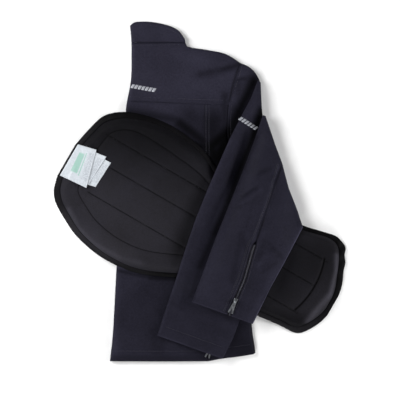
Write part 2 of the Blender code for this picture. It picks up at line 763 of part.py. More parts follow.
def face_out(work):
    """Turn a tube so that its faces look away from its middle."""
    work.normal_update()
    highest = max(work.faces, key=lambda face: face.calc_center_median().z)
    if highest.normal.z < 0:
        bmesh.ops.reverse_faces(work, faces=work.faces)


def far_row(position):
    """Far sleeve section: its edges, its width, and the shares where the two panels end."""
    row = table_row(FAR_SLEEVE, position, True)
    width = math.hypot(row[2] - row[0], row[3] - row[1])
    opening = ZIP_WIDTH / 2 * float(ease(position, ZIP_START - 0.05, ZIP_START + 0.15))
    over = 1 - (1 - row[4]) * float(np.clip((position - SEAM_START) / 0.25, 0, 1))
    gap = (SEAM / 2 + opening) / width
    return row, width, over - gap, over + gap


def build_far_sleeve(materials, collection, below):
    """Front panel and elbow panel of the far sleeve, parted along the seam and the zip."""
    last = len(FAR_SLEEVE) - 1
    edge_rows = [far_row(p)[0] for p in np.linspace(0, last, 60)]
    outline = [row[:2] for row in edge_rows] + [row[2:4] for row in edge_rows[::-1]]
    base = drape(below, outline, SLEEVE_REACH, 90, SLEEVE_SAG, FAR_FOLDS)
    seam_rows = sorted([SEAM_START + 0.12, SEAM_START + 0.25, ZIP_START - 0.05, ZIP_START + 0.15,
                        *np.linspace(SEAM_START + 0.5, last, 17)])
    front = []
    for position in [*np.linspace(0, SEAM_START, 7), *seam_rows]:
        row, width, seam, _ = far_row(position)
        near = [SLEEVE_LOFT / 2 / width, 0.7 / width, 0.0]
        if position <= SEAM_START:
            column = [fold_wrap(row, base, turn, 1.0) for turn in (1.0, 0.4)]
            seam = 1.0
        else:
            column = [sleeve_point(row, base, seam), sleeve_point(row, base, seam - 1 / width)]
            seam -= 2.5 / width
        column += [sleeve_point(row, base, share) for share in np.linspace(seam, near[0], 8)]
        column += [sleeve_point(row, base, share) for share in near[1:]]
        column += [sleeve_point(row, base, -share) for share in near[1::-1]]
        column += [sleeve_point(row, base, -share) for share in np.linspace(near[0], 0.88, 5)[1:]]
        front.append(column)
    items = [add_sleeve_panel("far_sleeve_front", front, materials, collection)]
    elbow = []
    stops = (0.0, 0.25, 0.5, 0.72, 0.88, 0.97, 1.0)
    for position in seam_rows:
        row, width, _, seam = far_row(position)
        is_fold = 1 - float(ease(position, FOLD_END, FOLD_END + 0.15))
        column = [sleeve_point(row, base, seam + (1 - seam) * stop) for stop in stops]
        column += [fold_wrap(row, base, turn, is_fold) for turn in (0.35, 0.7, 1.0)]
        elbow.append(column)
    items.append(add_sleeve_panel("far_sleeve_elbow", elbow, materials, collection))
    return items, base


def add_sleeve_panel(name, points, materials, collection):
    """Wall of a sleeve panel inside its outer points."""
    work = grid_mesh(np.array(points))
    face_out(work)
    item = add_object(name, work, materials["softshell"], collection)
    add_wall(item, WALL, -1.0)
    return item


# Zips

def zip_point(base, position, offset, drop):
    """Point on the line of the far sleeve's zip, moved across it and down from the cloth."""
    row, width, _, _ = far_row(position)
    point = sleeve_point(row, base, row[4] + offset / width)
    return point - np.array([0, 0, drop])


def zip_matrix(origin, ahead, normal):
    """Frame with x along the zip towards the cuff and z out of the cloth."""
    along = Vector(ahead) - Vector(origin)
    along.normalize()
    across = Vector(normal).cross(along).normalized()
    up = along.cross(across)
    turn = Matrix((along, across, up)).transposed().to_4x4()
    return Matrix.Translation(Vector(origin) * MM) @ turn


def flat_shape(outlines, thickness):
    """Plate in millimetres from closed outlines, the first its rim and the others holes."""
    curve = bpy.data.curves.new("plate", "CURVE")
    curve.dimensions = "2D"
    curve.fill_mode = "BOTH"
    curve.extrude = thickness / 2
    for outline in outlines:
        spline = curve.splines.new("POLY")
        spline.points.add(len(outline) - 1)
        for point, (x, y) in zip(spline.points, outline):
            point.co = (x, y, 0, 1)
        spline.use_cyclic_u = True
    holder = bpy.data.objects.new("plate", curve)
    bpy.context.scene.collection.objects.link(holder)
    bpy.context.view_layer.update()
    mesh = bpy.data.meshes.new_from_object(
        holder.evaluated_get(bpy.context.evaluated_depsgraph_get()))
    bpy.data.objects.remove(holder, do_unlink=True)
    work = bmesh.new()
    work.from_mesh(mesh)
    bmesh.ops.remove_doubles(work, verts=work.verts, dist=1e-4)
    return work


def circle(x, y, radius, count=10):
    """Points round a circle."""
    turns = np.linspace(0, 2 * math.pi, count, endpoint=False)
    return [(x + radius * math.cos(turn), y + radius * math.sin(turn)) for turn in turns]


def add_pull(name, frame, material, collection):
    """Pull tab with two legs, its bar on the hinge axis and its eye round the slider's bail."""
    rim = [(x, -y) for x, y in PULL_RIM] + PULL_RIM[-2::-1]
    near, far, half = EYE
    window = [(near, -half), (far, -half), (far, half), (near, half)]
    work = flat_shape([rim, window, circle(*PULL_HOLE)], PULL_WALL)
    item = add_object(name, work, material, collection)
    item.matrix_world = frame
    return item


def add_slider(name, frame, material, collection, cutters):
    """Slider body with the bail that carries the pull."""
    work = bmesh.new()
    bmesh.ops.create_cube(work, size=1.0)
    bmesh.ops.scale(work, vec=(SLIDER_LENGTH, SLIDER_WIDTH, SLIDER_WALL), verts=work.verts)
    for vertex in work.verts:
        vertex.co.y *= 0.72 if vertex.co.x > 0 else 1.0
    bmesh.ops.translate(work, vec=(0, 0, -AXIS_RISE - SLIDER_WALL / 2), verts=work.verts)
    slider = add_object(name, work, material, collection)
    bevel = slider.modifiers.new("edges", "BEVEL")
    bevel.width = 0.6 * MM
    bevel.segments = 2
    outer = BAIL_HALF + BAIL_WALL
    rim = [(-outer, -AXIS_RISE - 1), (outer, -AXIS_RISE - 1), (outer, BAIL_HALF * 0.6),
           (BAIL_HALF * 0.6, outer), (-BAIL_HALF * 0.6, outer), (-outer, BAIL_HALF * 0.6)]
    window = [(-BAIL_HALF, -AXIS_RISE), (BAIL_HALF, -AXIS_RISE), (BAIL_HALF, BAIL_HALF * 0.4),
              (BAIL_HALF * 0.4, BAIL_HALF), (-BAIL_HALF * 0.4, BAIL_HALF),
              (-BAIL_HALF, BAIL_HALF * 0.4)]
    work = flat_shape([rim, window], BAIL_WIDTH)
    bmesh.ops.rotate(work, cent=(0, 0, 0), matrix=Matrix.Rotation(math.pi / 2, 3, "X"),
                     verts=work.verts)
    bail = add_object(name + "_bail", work, material, cutters)
    bail.hide_render = True
    bail.display_type = "WIRE"
    slider.matrix_world = frame
    bail.matrix_world = frame
    union = slider.modifiers.new("bail", "BOOLEAN")
    union.operation = "UNION"
    union.object = bail
    return slider


def build_far_zip(materials, collection, cutters, base):
    """Closed chain of the wrist zip with its slider and pull tab."""
    half = ZIP_WIDTH / 2 - SEAM / 2
    last = len(FAR_SLEEVE) - 1
    points = [[zip_point(base, position, offset, ZIP_SUNK) for offset in (-half, 0.0, half)]
              for position in np.linspace(ZIP_START + 0.2, last, 14)]
    work = grid_mesh(np.array(points))
    face_up(work)
    chain = add_object("far_sleeve_zip", work, materials["chain"], collection)
    add_wall(chain, ZIP_WALL, -1.0)
    rise = np.array([0, 0, CLEAR + SLIDER_WALL + AXIS_RISE])
    origin = zip_point(base, SLIDER_AT, 0.0, ZIP_SUNK) + rise
    ahead = zip_point(base, last, 0.0, ZIP_SUNK)
    reach = ahead - zip_point(base, SLIDER_AT, 0.0, ZIP_SUNK)
    across = zip_point(base, SLIDER_AT, 3.0, 0) - zip_point(base, SLIDER_AT, -3.0, 0)
    normal = np.cross(across, reach)
    normal = normal if normal[2] > 0 else -normal
    body = zip_matrix(origin, origin + reach, normal)
    tilted = body @ Matrix.Rotation(math.radians(PULL_TILT), 4, "Y")
    return [chain, add_slider("far_zip_slider", body, materials["metal"], collection, cutters),
            add_pull("far_zip_pull", tilted, materials["metal"], collection)]


def build_near_zip(materials, collection, cutters, height):
    """Slider and pull of the near sleeve, lying on the hem under its cuff."""
    rise = CLEAR + SLIDER_WALL + AXIS_RISE
    origin = (*NEAR_PULL[:2], height + rise)
    ahead = (*NEAR_PULL[2:], height + rise)
    body = zip_matrix(origin, ahead, (0, 0, 1))
    tilted = body @ Matrix.Rotation(math.radians(PULL_TILT), 4, "Y")
    return [add_slider("near_zip_slider", body, materials["metal"], collection, cutters),
            add_pull("near_zip_pull", tilted, materials["metal"], collection)]


# Build

def clear_scene():
    """Remove the objects of the scene."""
    for item in list(bpy.data.objects):
        bpy.data.objects.remove(item, do_unlink=True)


def main():
    """Build the jacket from the floor up."""
    clear_scene()
    collection = bpy.data.collections.new("equestrian_jacket")
    bpy.context.scene.collection.children.link(collection)
    materials = {
        "softshell": make_material("softshell", "2A2934", 0.62),
        "lining": make_material("lining", "1E1D24", 0.75),
        "quilt": make_material("quilt", "2A282F", 0.55),
        "binding": make_material("binding", "17161B", 0.6),
        "label": make_material("label", "EBF1F5", 0.55),
        "chain": make_material("chain", "121116", 0.4),
        "metal": make_material("metal", "B9BCC2", 0.28, 1.0),
    }
    items = build_body(materials, collection)
    fold = [table_row(FAR_SLEEVE, p, True)[2:4] for p in np.linspace(0, FOLD_END - 0.2, 12)]
    loop = np.concatenate([fold, curve_points(UNDER_INNER, 12)])
    items.append(layered_solid("far_sleeve_under", loop, UNDER_INSET, 2, UNDER_TOP,
                               materials["softshell"], collection))
    bpy.context.view_layer.update()
    items += build_protector(materials, collection, items)
    cutters = bpy.data.collections.new("cutters")
    bpy.context.scene.collection.children.link(cutters)
    items += build_near_zip(materials, collection, cutters, CORE_TOP + CLEAR + WALL)
    bpy.context.view_layer.update()
    items.append(build_near_sleeve(materials, collection, items))
    bpy.context.view_layer.update()
    far, base = build_far_sleeve(materials, collection, items)
    items += far + build_far_zip(materials, collection, cutters, base)


main()
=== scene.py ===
"""Dressed riding jacket, folded flat with its quilted back protector: an add-on run as a script.

Tables are in millimetres in the jacket's own plan: X to the right, Y towards the collar. Heights
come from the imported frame, so every piece lies where its solid does.
"""

import math

import bpy
import numpy as np
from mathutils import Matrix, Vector
from mathutils.bvhtree import BVHTree


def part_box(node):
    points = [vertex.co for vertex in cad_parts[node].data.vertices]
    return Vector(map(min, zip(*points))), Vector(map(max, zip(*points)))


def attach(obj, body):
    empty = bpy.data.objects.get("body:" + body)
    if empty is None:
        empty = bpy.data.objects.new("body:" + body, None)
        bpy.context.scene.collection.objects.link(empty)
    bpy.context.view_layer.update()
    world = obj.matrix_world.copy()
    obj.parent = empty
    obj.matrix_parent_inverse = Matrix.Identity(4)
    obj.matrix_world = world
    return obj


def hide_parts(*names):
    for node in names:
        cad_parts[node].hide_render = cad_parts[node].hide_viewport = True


bl_info = {
    "name": "Folded riding jacket",
    "version": (1, 0, 0),
    "blender": (4, 5, 0),
    "location": "View3D > Sidebar > Jacket",
    "description": "Builds the cloth, foam, tape, labels and zips of a folded riding jacket",
    "category": "Add Mesh",
}

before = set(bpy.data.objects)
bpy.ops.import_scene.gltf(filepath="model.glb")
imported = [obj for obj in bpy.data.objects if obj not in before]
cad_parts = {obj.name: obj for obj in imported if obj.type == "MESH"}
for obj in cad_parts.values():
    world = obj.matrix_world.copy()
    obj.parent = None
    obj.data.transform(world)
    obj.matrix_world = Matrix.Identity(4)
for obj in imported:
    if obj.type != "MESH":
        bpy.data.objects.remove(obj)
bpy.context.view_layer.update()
MM = 0.001

# Sizes shared with the solids
SEAM = 0.04
ROLL_WIDTH = 7.4
SLEEVE_HALF = 3.0
BINDING = 9.5
PAD_EDGE = 5.0
ZIP_HALF = 4.0
ZIP_SUNK = 0.5
FLOOR_GAP = 0.5
PANEL_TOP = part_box("near_sleeve_cap")[1][2] / MM
CORE_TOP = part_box("body_core")[1][2] / MM
UNDER_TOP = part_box("far_sleeve_under")[1][2] / MM

# Half back, laid flat: outlines as short curves of (x, y)
FOLD_EDGE = [(-180, -339), (-174, -281), (-168, -173), (-159, -17), (-149, 150), (-146, 187),
             (-139, 215), (-137, 245), (-137, 297)]
COLLAR_TOP = [(-140, 331), (-128, 338.4), (-100, 338.8), (-68, 333), (-45, 323), (-33, 311),
              (-29, 299)]
COLLAR_FOLD = [(-137, 297), (-138, 312), (-140, 331)]
COLLAR_FRONT = [(-29, 297), (-29.3, 300), (-31, 306)]
NECK_SEAM = [(-137, 297), (-90, 297.5), (-45, 298), (-29, 297)]
NECK_END = (-29, 296)
SHOULDER_YOKE = [(-24, 289), (12, 283), (44, 277), (62, 269), (80, 257)]
SHOULDER_CAP = [(80, 257), (96, 250), (108, 240), (116, 228), (120, 219)]
ARMHOLE = [(80, 257), (68, 219), (60, 193), (57, 173)]
ARMHOLE_LOW = [(57, 173), (55, 140), (56, 103)]
CAP_EDGE = [(120, 219), (122, 170), (118, 130), (104, 96)]
CAP_HEM = [(56, 103), (80, 96), (104, 96)]
YOKE_SEAM_LEFT = [(-146, 180), (-126, 179.5), (-40, 176), (10, 174)]
YOKE_SEAM_RIGHT = [(10, 174), (36, 173.5), (57, 173)]
BACK_SEAM = [(10, 174), (10, 83), (12, -117), (16, -339)]
SIDE_EDGE = [(56, 103), (68, 53), (82, -17), (94, -97), (102, -197), (105, -270), (112, -321)]
HEM_LEFT = [(-180, -339), (-80, -339.5), (16, -339)]
HEM_RIGHT = [(16, -339), (44, -334), (76, -330), (108, -325), (112, -321)]
UNDER_INNER = [(178, -56), (150, -48), (128, -26), (112, 30), (112, 100), (122, 140)]

# Near sleeve: left edge x, y and right edge x, y at each section
NEAR_SLEEVE = [
    (115, 221, 121, 217),
    (102, 187, 123, 172),
    (86, 157, 126, 135),
    (60, 107, 140, 51),
    (46, 75, 147, 14),
    (18, 11, 150, -46),
    (-8, -53, 130, -103),
    (-30, -117, 108, -159),
    (-50, -181, 88, -232),
    (-72, -245, 66, -292),
    (-85, -287, 45, -333),
]

# Places close to a sleeve's ends, in sections, and close to its edges, in millimetres
NEAR_END = (0.0, 0.008, 0.02, 0.04)
NEAR_EDGE = (0.0, 0.12, 0.5, 1.2, 2.1, SLEEVE_HALF)

# Far sleeve: left edge x, y, right edge x, y and how far across the seam lies, at each section
FAR_SLEEVE = [
    (125, 152, 130, 150, 1.00),
    (110, 107, 150, 91, 1.00),
    (101, 83, 163, 57, 0.99),
    (86, 43, 176, 7, 0.74),
    (72, 9, 192, -34, 0.60),
    (60, -21, 205, -71, 0.50),
    (34, -85, 168, -141, 0.53),
    (10, -149, 140, -191, 0.60),
    (-16, -219, 105, -263, 0.61),
]
SEAM_START = 2.0
ZIP_START = 5.75
FOLD_END = 4.4
FOLD_FOOT = 0.9
TURN_UNDER = 12.0

# Protector, in its own axes: u along it, v across it, with the upper and lower outline
PAD_ORIGIN = (-252, 87)
PAD_TURN = math.radians(-30.0)
PAD_ALONG = np.array([math.cos(PAD_TURN), math.sin(PAD_TURN)])
PAD_ACROSS = np.array([-PAD_ALONG[1], PAD_ALONG[0]])
PAD_ROWS = [
    (-1, 6, -64),
    (6, 42, -90),
    (16, 78, -106),
    (30, 97, -118),
    (54, 114, -132),
    (84, 126, -147),
    (116, 133, -156),
    (150, 136, -161),
    (184, 134, -161),
    (218, 128, -157),
    (252, 115, -147),
    (286, 99, -132),
    (320, 93, -116),
    (356, 90, -107),
    (400, 90, -104),
    (444, 92, -106),
    (480, 96, -107),
    (510, 103, -104),
    (540, 109, -101),
    (562, 104, -100),
    (578, 84, -93),
    (593, 50, -72),
    (602, 28, -52),
    (606, 8, -36),
]
PAD_CROWN = 16.5
PAD_SHOULDER = 14.5
PAD_DISH = 2.2
PAD_SWELL = 1.6
QUILT_DEPTH = 4.6

# Quilting: v of each straight seam with the u where it starts and ends, the seam that follows the
# upper edge, with its bows as height and the u that each grows between, and the narrow end's arc
PAD_SEAMS = [(56, 44, 552), (2, 84, 552), (-62, 68, 552)]
CONTOUR_INSET = 40.0
CONTOUR_LEAN = 0.085
CONTOUR_START = 20.0
CONTOUR_END = 345.0
CONTOUR_BOWS = [(14, 60, 165), (-18, 185, 290)]
ARC_U = 554.0
ARC_HALF = 58.0
ARC_BOW = 10.0
GROOVES = {"quilt_straight": (3.6, 0.45), "quilt_contour": (4.0, 0.45), "quilt_arc": (4.5, 0.9)}

# Creases of the cloth: start x, y, end x, y, half width, height, negative where it is a trough
BODY_CREASES = [
    (-160, -110, -172, -335, 24, 3.0),
    (-88, -170, -96, -330, 30, -1.2),
    (-128, 300, -132, 190, 26, 1.8),
    (20, 190, 52, 110, 26, -1.5),
    (84, 257, 40, 244, 6, -2.8),
    (46, 246, -10, 232, 9, -1.8),
    (74, 242, -6, 216, 12, 1.9),
    (-20, 276, 50, 262, 12, 1.2),
    (68, 221, 104, 229, 5, -2.2),
    (74, 204, 104, 214, 7, 1.2),
    (-118, 290, -120, 256, 5, -1.2),
    (-116, 262, -80, 284, 6, -0.9),
    (-60, 270, -128, 234, 16, 0.8),
    (-40, 236, -120, 214, 12, -0.9),
    (-136, 60, -158, -150, 9, 0.9),
    (-120, -160, -128, -330, 11, 0.8),
    (-86, -190, -70, -325, 14, -0.9),
    (-52, -230, -44, -332, 10, 0.8),
    (20, -300, 100, -288, 9, -0.9),
]
NEAR_CREASES = [
    (108, 190, 92, 150, 7, 1.6),
    (52, 150, 34, 96, 10, -1.0),
    (96, 130, 60, 10, 9, -3.2),
    (66, 20, -30, -206, 12, -3.2),
    (20, 20, -44, -190, 12, 1.8),
    (-40, -170, -66, -252, 8, -1.1),
    (-74, -256, -50, -268, 7, -1.2),
    (30, -264, 62, -278, 6, -1.5),
    (28, -284, 66, -300, 6, 1.1),
    (-20, -258, 24, -292, 14, 1.9),
    (24, -300, -30, -322, 7, -0.9),
    (-58, -226, -30, -250, 8, 1.1),
]
FAR_CREASES = [
    (122, 126, 96, 60, 7, 1.5),
    (100, 22, 66, -40, 12, -1.4),
    (82, -11, 118, 12, 5, -2.0),
    (76, -26, 108, -4, 7, 1.3),
    (110, 33, 138, 44, 5, -1.8),
    (138, 48, 148, 26, 6, -1.4),
    (60, -30, 18, -150, 15, 1.8),
    (158, -60, 196, -80, 6, -1.5),
    (132, -86, 122, -114, 4, 1.9),
    (114, -122, 146, -109, 4.5, -2.0),
    (116, -134, 148, -121, 4.5, 1.5),
    (112, -147, 144, -133, 4.5, -1.9),
    (152, -88, 176, -112, 7, 1.3),
    (96, -60, 66, -170, 11, -1.5),
    (24, -186, 56, -200, 8, -1.2),
    (126, -160, 96, -214, 9, 1.4),
    (30, -214, 76, -234, 7, 0.9),
    (162, 50, 148, 11, 3, -1.1),
    (148, 11, 130, -43, 3, -1.1),
    (130, -43, 112, -97, 3, -1.1),
]

# Slow unevenness: seeds, and the longest wave with its height for each kind of piece
BODY_SEED = 5
NEAR_SEED = 11
FAR_SEED = 17
PAD_SEED = 23
BODY_WOBBLE = (90, 0.6)
SLEEVE_WOBBLE = (80, 0.45)
PAD_WOBBLE = (70, 0.6)

# Painted shade where shade falls: recesses, creases, seam grooves, shaded sides and less lit
# sleeves; start x, y, end x, y, half width and strength
BODY_PAINTED_SHADE = [
    (108, 222, 78, 160, 14, 0.9),
    (78, 160, 60, 118, 17, 0.93),
    (60, 118, 34, 62, 27, 0.97),
    (20, 88, 44, 50, 27, 0.96),
    (-40, 136, 20, 90, 15, 0.85),
    (-140, 158, -40, 142, 10, 0.6),
    (50, 190, 48, 110, 10, 0.55),
    (24, 140, 26, 110, 32, 0.72),
    (-20, 150, 30, 120, 24, 0.45),
    (-34, 96, 20, 88, 15, 0.9),
    (20, 88, 60, 120, 24, 0.97),
    (-10, 84, 24, 66, 16, 0.95),
    (80, 257, 68, 219, 3.0, 0.5),
    (68, 219, 58, 180, 3.0, 0.6),
    (78, 254, 44, 244, 6, 0.55),
    (44, 244, 0, 234, 8, 0.36),
    (72, 222, 100, 229, 5, 0.5),
    (76, 212, 80, 180, 10, 0.45),
    (10, 174, 11, 60, 2.0, 0.4),
    (-140, 180, 57, 173, 2.0, 0.25),
    (-130, 297.5, -32, 297.5, 2.4, 0.22),
    (-56, 294, -34, 290, 8, 0.16),
    (-60, -180, -84, -310, 28, 0.36),
    (-90, -240, 60, -270, 110, 0.32),
    (60, -250, 92, -320, 40, 0.58),
    (-140, -110, -60, -140, 14, 0.4),
    (-170, -156, -100, -172, 5, 0.6),
    (-100, -172, -30, -176, 6, 0.75),
    (-170, -334, 100, -334, 10, 0.42),
]
# painted shade beside the far sleeve's raised edge, and over the whole near sleeve
NEAR_PAINTED_SHADE = [
    (122, 160, 112, 128, 11, 0.94),
    (114, 132, 80, 43, 10, 0.93),
    (80, 43, 56, -21, 10, 0.9),
    (56, -21, 28, -85, 9.5, 0.84),
    (28, -85, 0, -150, 9, 0.7),
    (0, -150, -18, -208, 8, 0.5),
    (-30, -196, 60, -250, 14, 0.3),
    (-74, -214, -30, -236, 8, 0.3),
    (24, -298, -30, -316, 8, 0.25),
    (40, -100, 0, -250, 400, 0.2),
]
# painted shade along the far sleeve's seam, creases and edges, and over the whole sleeve
FAR_PAINTED_SHADE = [
    (112, 108, 86, 43, 6, 0.45),
    (86, 43, 34, -85, 5, 0.35),
    (34, -85, -16, -219, 5, 0.28),
    (162, 50, 148, 11, 2.6, 0.6),
    (148, 11, 130, -43, 2.6, 0.6),
    (130, -43, 112, -97, 2.6, 0.6),
    (118, 20, 88, -84, 6, 0.26),
    (82, -84, 64, -177, 11, 0.36),
    (120, 40, 138, 46, 9, 0.34),
    (126, -98, 118, -132, 13, 0.36),
    (84, -10, 112, 8, 6, 0.34),
    (84, -90, 98, -136, 8, 0.36),
    (134, -102, 164, -132, 7, 0.36),
    (150, -142, 124, -160, 6, 0.32),
    (70, -34, 96, -22, 5, 0.3),
    (100, -170, 80, -236, 13, 0.24),
    (80, 0, 60, -150, 400, 0.17),
]
# painted shade on the pad: darker on its upper side, away from the light, and beside the sleeves
PAD_PAINTED_SHADE = [
    (-210, 130, -10, 110, 85, 0.72),
    (-60, 70, 40, 40, 70, 0.45),
    (20, 60, -40, -120, 22, 0.5),
    (110, -200, 230, -130, 80, 0.56),
    (120, -244, 200, -272, 34, 0.68),
    (104, -250, 205, -74, 10, 0.62),
]
# painted shade on the binding where it faces away from the light and under the pad's edge
BINDING_PAINTED_SHADE = [
    (-190, 160, -60, 150, 60, 0.75),
    (-60, 150, 40, 80, 40, 0.7),
    (205, -70, 290, -110, 50, 0.75),
    (290, -110, 270, -240, 40, 0.75),
    (-290, -20, -290, 20, 50, 0.4),
    (-236, -112, -184, -146, 14, 0.5),
    (-184, -146, -100, -165, 14, 0.75),
    (-100, -165, -36, -170, 14, 0.8),
]

# Painted light: highlights on lit edges, rims, folds and cuffs, and lighter lit sides, in the same
# form
# painted highlights along the pad's lit rims
PAD_PAINTED_LIGHT = [
    (-262, -36, -240, -76, 6, 0.6),
    (-240, -76, -208, -106, 6.5, 0.9),
    (-208, -106, -160, -131, 7, 0.9),
    (-160, -131, -120, -142, 7, 0.5),
    (-236, -84, -150, -130, 24, 0.36),
    (-200, -20, -120, -70, 40, 0.12),
    (272, -128, 272, -156, 5, 2.2),
    (272, -156, 260, -204, 5, 2.2),
    (260, -204, 214, -258, 6, 2.0),
]
BINDING_PAINTED_LIGHT = [
    (-270, -60, -130, -160, 40, 0.7),
]
NEAR_PAINTED_LIGHT = [
    (-85, -287, 45, -333, 2.6, 0.5),
    (58, 100, -12, -60, 6, 0.35),
    (-10, -60, -80, -280, 3, 0.3),
]
FAR_PAINTED_LIGHT = [
    (205, -72, 106, -261, 2.6, 1.9),
    (198, -80, 98, -256, 8, 0.35),
    (-16, -219, 105, -263, 2.0, 0.5),
    (30, -70, 10, -200, 16, 0.12),
    (144, 4, 124, -50, 6, 0.16),
    (126, -84, 116, -112, 5, 0.25),
    (130, -118, 116, -150, 4, 0.25),
    (84, -24, 122, 4, 4, 0.22),
    (156, 50, 141, 10, 2.4, 0.35),
    (141, 10, 123, -44, 2.4, 0.35),
    (123, -44, 105, -98, 2.4, 0.35),
]
# painted highlight along the centre back fold and painted light on the upper back
BODY_PAINTED_LIGHT = [
    (-172, -330, -152, 120, 7, 0.35),
    (-141, 180, -134, 300, 6, 0.25),
    (-120, 320, -110, 240, 50, 0.12),
    (-30, 240, 46, 214, 60, 0.26),
    (-50, 320, -40, 260, 30, 0.24),
]

# Topstitching at its distance from each seam, in millimetres
STITCH_YOKE = 9.0
STITCH_BACK = 8.0
STITCH_BACK_CLOSE = 2.0
STITCH_ARMHOLE = 6.0
STITCH_COLLAR = 5.0
STITCH_COLLAR_TOP = 7.0
STITCH_HEM = 21.0
STITCH_CUFF = 22.0
STITCH_SLEEVE = (7.5, 10.0)
STITCH_ZIP = 3.0

# How deep stitches press the body and the sleeves, and how much a turned hem thickens each
BODY_PRESS = 0.55
BODY_HEM = 0.5
SLEEVE_PRESS = 0.4
PUCKER = 0.12

# Reflective trim: middle x, y, length, turn in degrees and count of its slanted segments
BACK_TRIM = (-112, 206, 50, -10, 7)
SLEEVE_TRIM = (97, 135, 42, -32, 6)
TRIM_HEIGHT = 8.0
TRIM_SLANT = 3.0
TRIM_FILL = 0.72
TRIM_RISE = 0.22
FILM = 0.3

# Sewn labels, lowest first: corners as x, y from the pad's edge round
LABELS = [
    ("label_care_lower", [(-226, 84), (-177, 57), (-208, 9), (-252, 22)]),
    ("label_care_middle", [(-232, 88), (-186, 69), (-221, 15), (-262, 26)]),
    ("label_care_top", [(-243, 94), (-206, 83), (-226, 7), (-279, 32)]),
]
LABEL_STEP = 1.2
LABEL_CLEAR = 0.9
LABEL_LIFT = 0.8
LABEL_WALL = 0.45

# Raster that carries heights read from the frame
CELL = 3.0
RASTER_X = np.arange(-312.0, 312.1, CELL)
RASTER_Y = np.arange(-366.0, 366.1, CELL)
GRID_X, GRID_Y = np.meshgrid(RASTER_X, RASTER_Y)

# Photograph's frame: plan width that it spans and the plan point at its middle, in millimetres
VIEW_WIDTH = 800.0
VIEW_MIDDLE = (0.0, -17.0)
CAMERA_HEIGHT = 4000.0

# Soft lights: name, place and size in metres, and power
LIGHTS = [
    ("left_softbox", (-1.0, 0.42, 0.75), 0.8, 21.0),
    ("right_softbox", (2.3, 0.0, 0.95), 1.0, 63.0),
    ("front_softbox", (-0.5, -2.25, 1.0), 1.0, 46.0),
]


# Sizes and colours that a user would change

class JacketSizes(bpy.types.PropertyGroup):
    """Sizes of the cloth and its sewing."""

    cloth_wall: bpy.props.FloatProperty(
        name="Cloth", description="Thickness of the softshell", default=1.6 * MM,
        unit="LENGTH")
    mesh_cell: bpy.props.FloatProperty(
        name="Mesh cell", description="Spacing of the cloth's points", default=3.2 * MM,
        unit="LENGTH")
    stitch_length: bpy.props.FloatProperty(
        name="Stitch", description="Length of one stitch", default=2.7 * MM, unit="LENGTH")
    stitch_pitch: bpy.props.FloatProperty(
        name="Stitch pitch", description="From one stitch to the next", default=3.6 * MM,
        unit="LENGTH")
    thread: bpy.props.FloatProperty(
        name="Thread", description="Thickness of the sewing thread", default=0.6 * MM,
        unit="LENGTH")
    crease: bpy.props.FloatProperty(
        name="Creases", description="How strongly the cloth is creased", default=1.0,
        subtype="FACTOR")


class JacketColours(bpy.types.PropertyGroup):
    """Colours as sRGB hex values."""

    softshell: bpy.props.StringProperty(
        name="Softshell", description="Outer cloth", default="25242F")
    lining: bpy.props.StringProperty(
        name="Layers", description="Hidden layers of the fold", default="232229")
    tricot: bpy.props.StringProperty(
        name="Pad cover", description="Brushed tricot over the foam", default="252429")
    tape: bpy.props.StringProperty(
        name="Binding", description="Woven tape round the pad", default="1C1B1E")
    thread: bpy.props.StringProperty(
        name="Thread", description="Topstitching thread", default="302F3B")
    label: bpy.props.StringProperty(
        name="Label", description="Satin label tape", default="B6BCC2")
    label_band: bpy.props.StringProperty(
        name="Label band", description="Soft green print", default="7FA79A")
    label_rule: bpy.props.StringProperty(
        name="Label rules", description="Grey print", default="70747F")
    reflective: bpy.props.StringProperty(
        name="Reflective trim", description="Bonded silver trim", default="9FA1A8")
    coil: bpy.props.StringProperty(
        name="Zip coil", description="Nylon coil", default="34343F")
    metal: bpy.props.StringProperty(
        name="Zip metal", description="Plated slider and pull", default="B9BCC2")
    floor: bpy.props.StringProperty(
        name="Floor", description="Pale studio floor", default="F4F4F4")


def sizes():
    """Sizes in use."""
    return bpy.context.scene.jacket_sizes


def colours():
    """Colours in use."""
    return bpy.context.scene.jacket_colours


# Curves and tables

def spline_point(before, start, end, after, t):
    """Smooth cubic between start and end, bent by the points before and after."""
    return 0.5 * (2 * start + (end - before) * t
                  + (2 * before - 5 * start + 4 * end - after) * t ** 2
                  + (3 * start - before - 3 * end + after) * t ** 3)


def curve_at(points, shares):
    """Points at the given shares of a smooth curve's length."""
    knots = np.array(points, float)
    if len(knots) > 2:
        ends = np.vstack([2 * knots[0] - knots[1], knots, 2 * knots[-1] - knots[-2]])
        fine = []
        for i in range(1, len(ends) - 2):
            for t in np.linspace(0, 1, 12, endpoint=False):
                fine.append(spline_point(ends[i - 1], ends[i], ends[i + 1], ends[i + 2], t))
        fine.append(ends[-2])
        knots = np.array(fine)
    along = line_lengths(knots)
    wanted = np.asarray(shares, float) * along[-1]
    return np.column_stack([np.interp(wanted, along, knots[:, k]) for k in range(2)])


def curve_points(points, count):
    """Points at even spacing along a smooth curve."""
    return curve_at(points, np.linspace(0, 1, count))


def line_lengths(line):
    """Length along a polyline at each of its points."""
    steps = np.sqrt(np.sum(np.diff(np.asarray(line, float), axis=0) ** 2, axis=1))
    return np.concatenate([[0], np.cumsum(steps)])


def table_row(table, position):
    """All columns of a table read at a position between its rows."""
    rows = np.array(table, float)
    index = int(min(max(math.floor(position), 0), len(rows) - 2))
    t = position - index
    return rows[index] * (1 - t) + rows[index + 1] * t


def smooth_row(table, position):
    """All columns of a table read on a smooth curve through its rows."""
    rows = np.array(table, float)
    index = int(min(max(math.floor(position), 0), len(rows) - 2))
    before = rows[max(index - 1, 0)]
    after = rows[min(index + 2, len(rows) - 1)]
    return spline_point(before, rows[index], rows[index + 1], after, position - index)


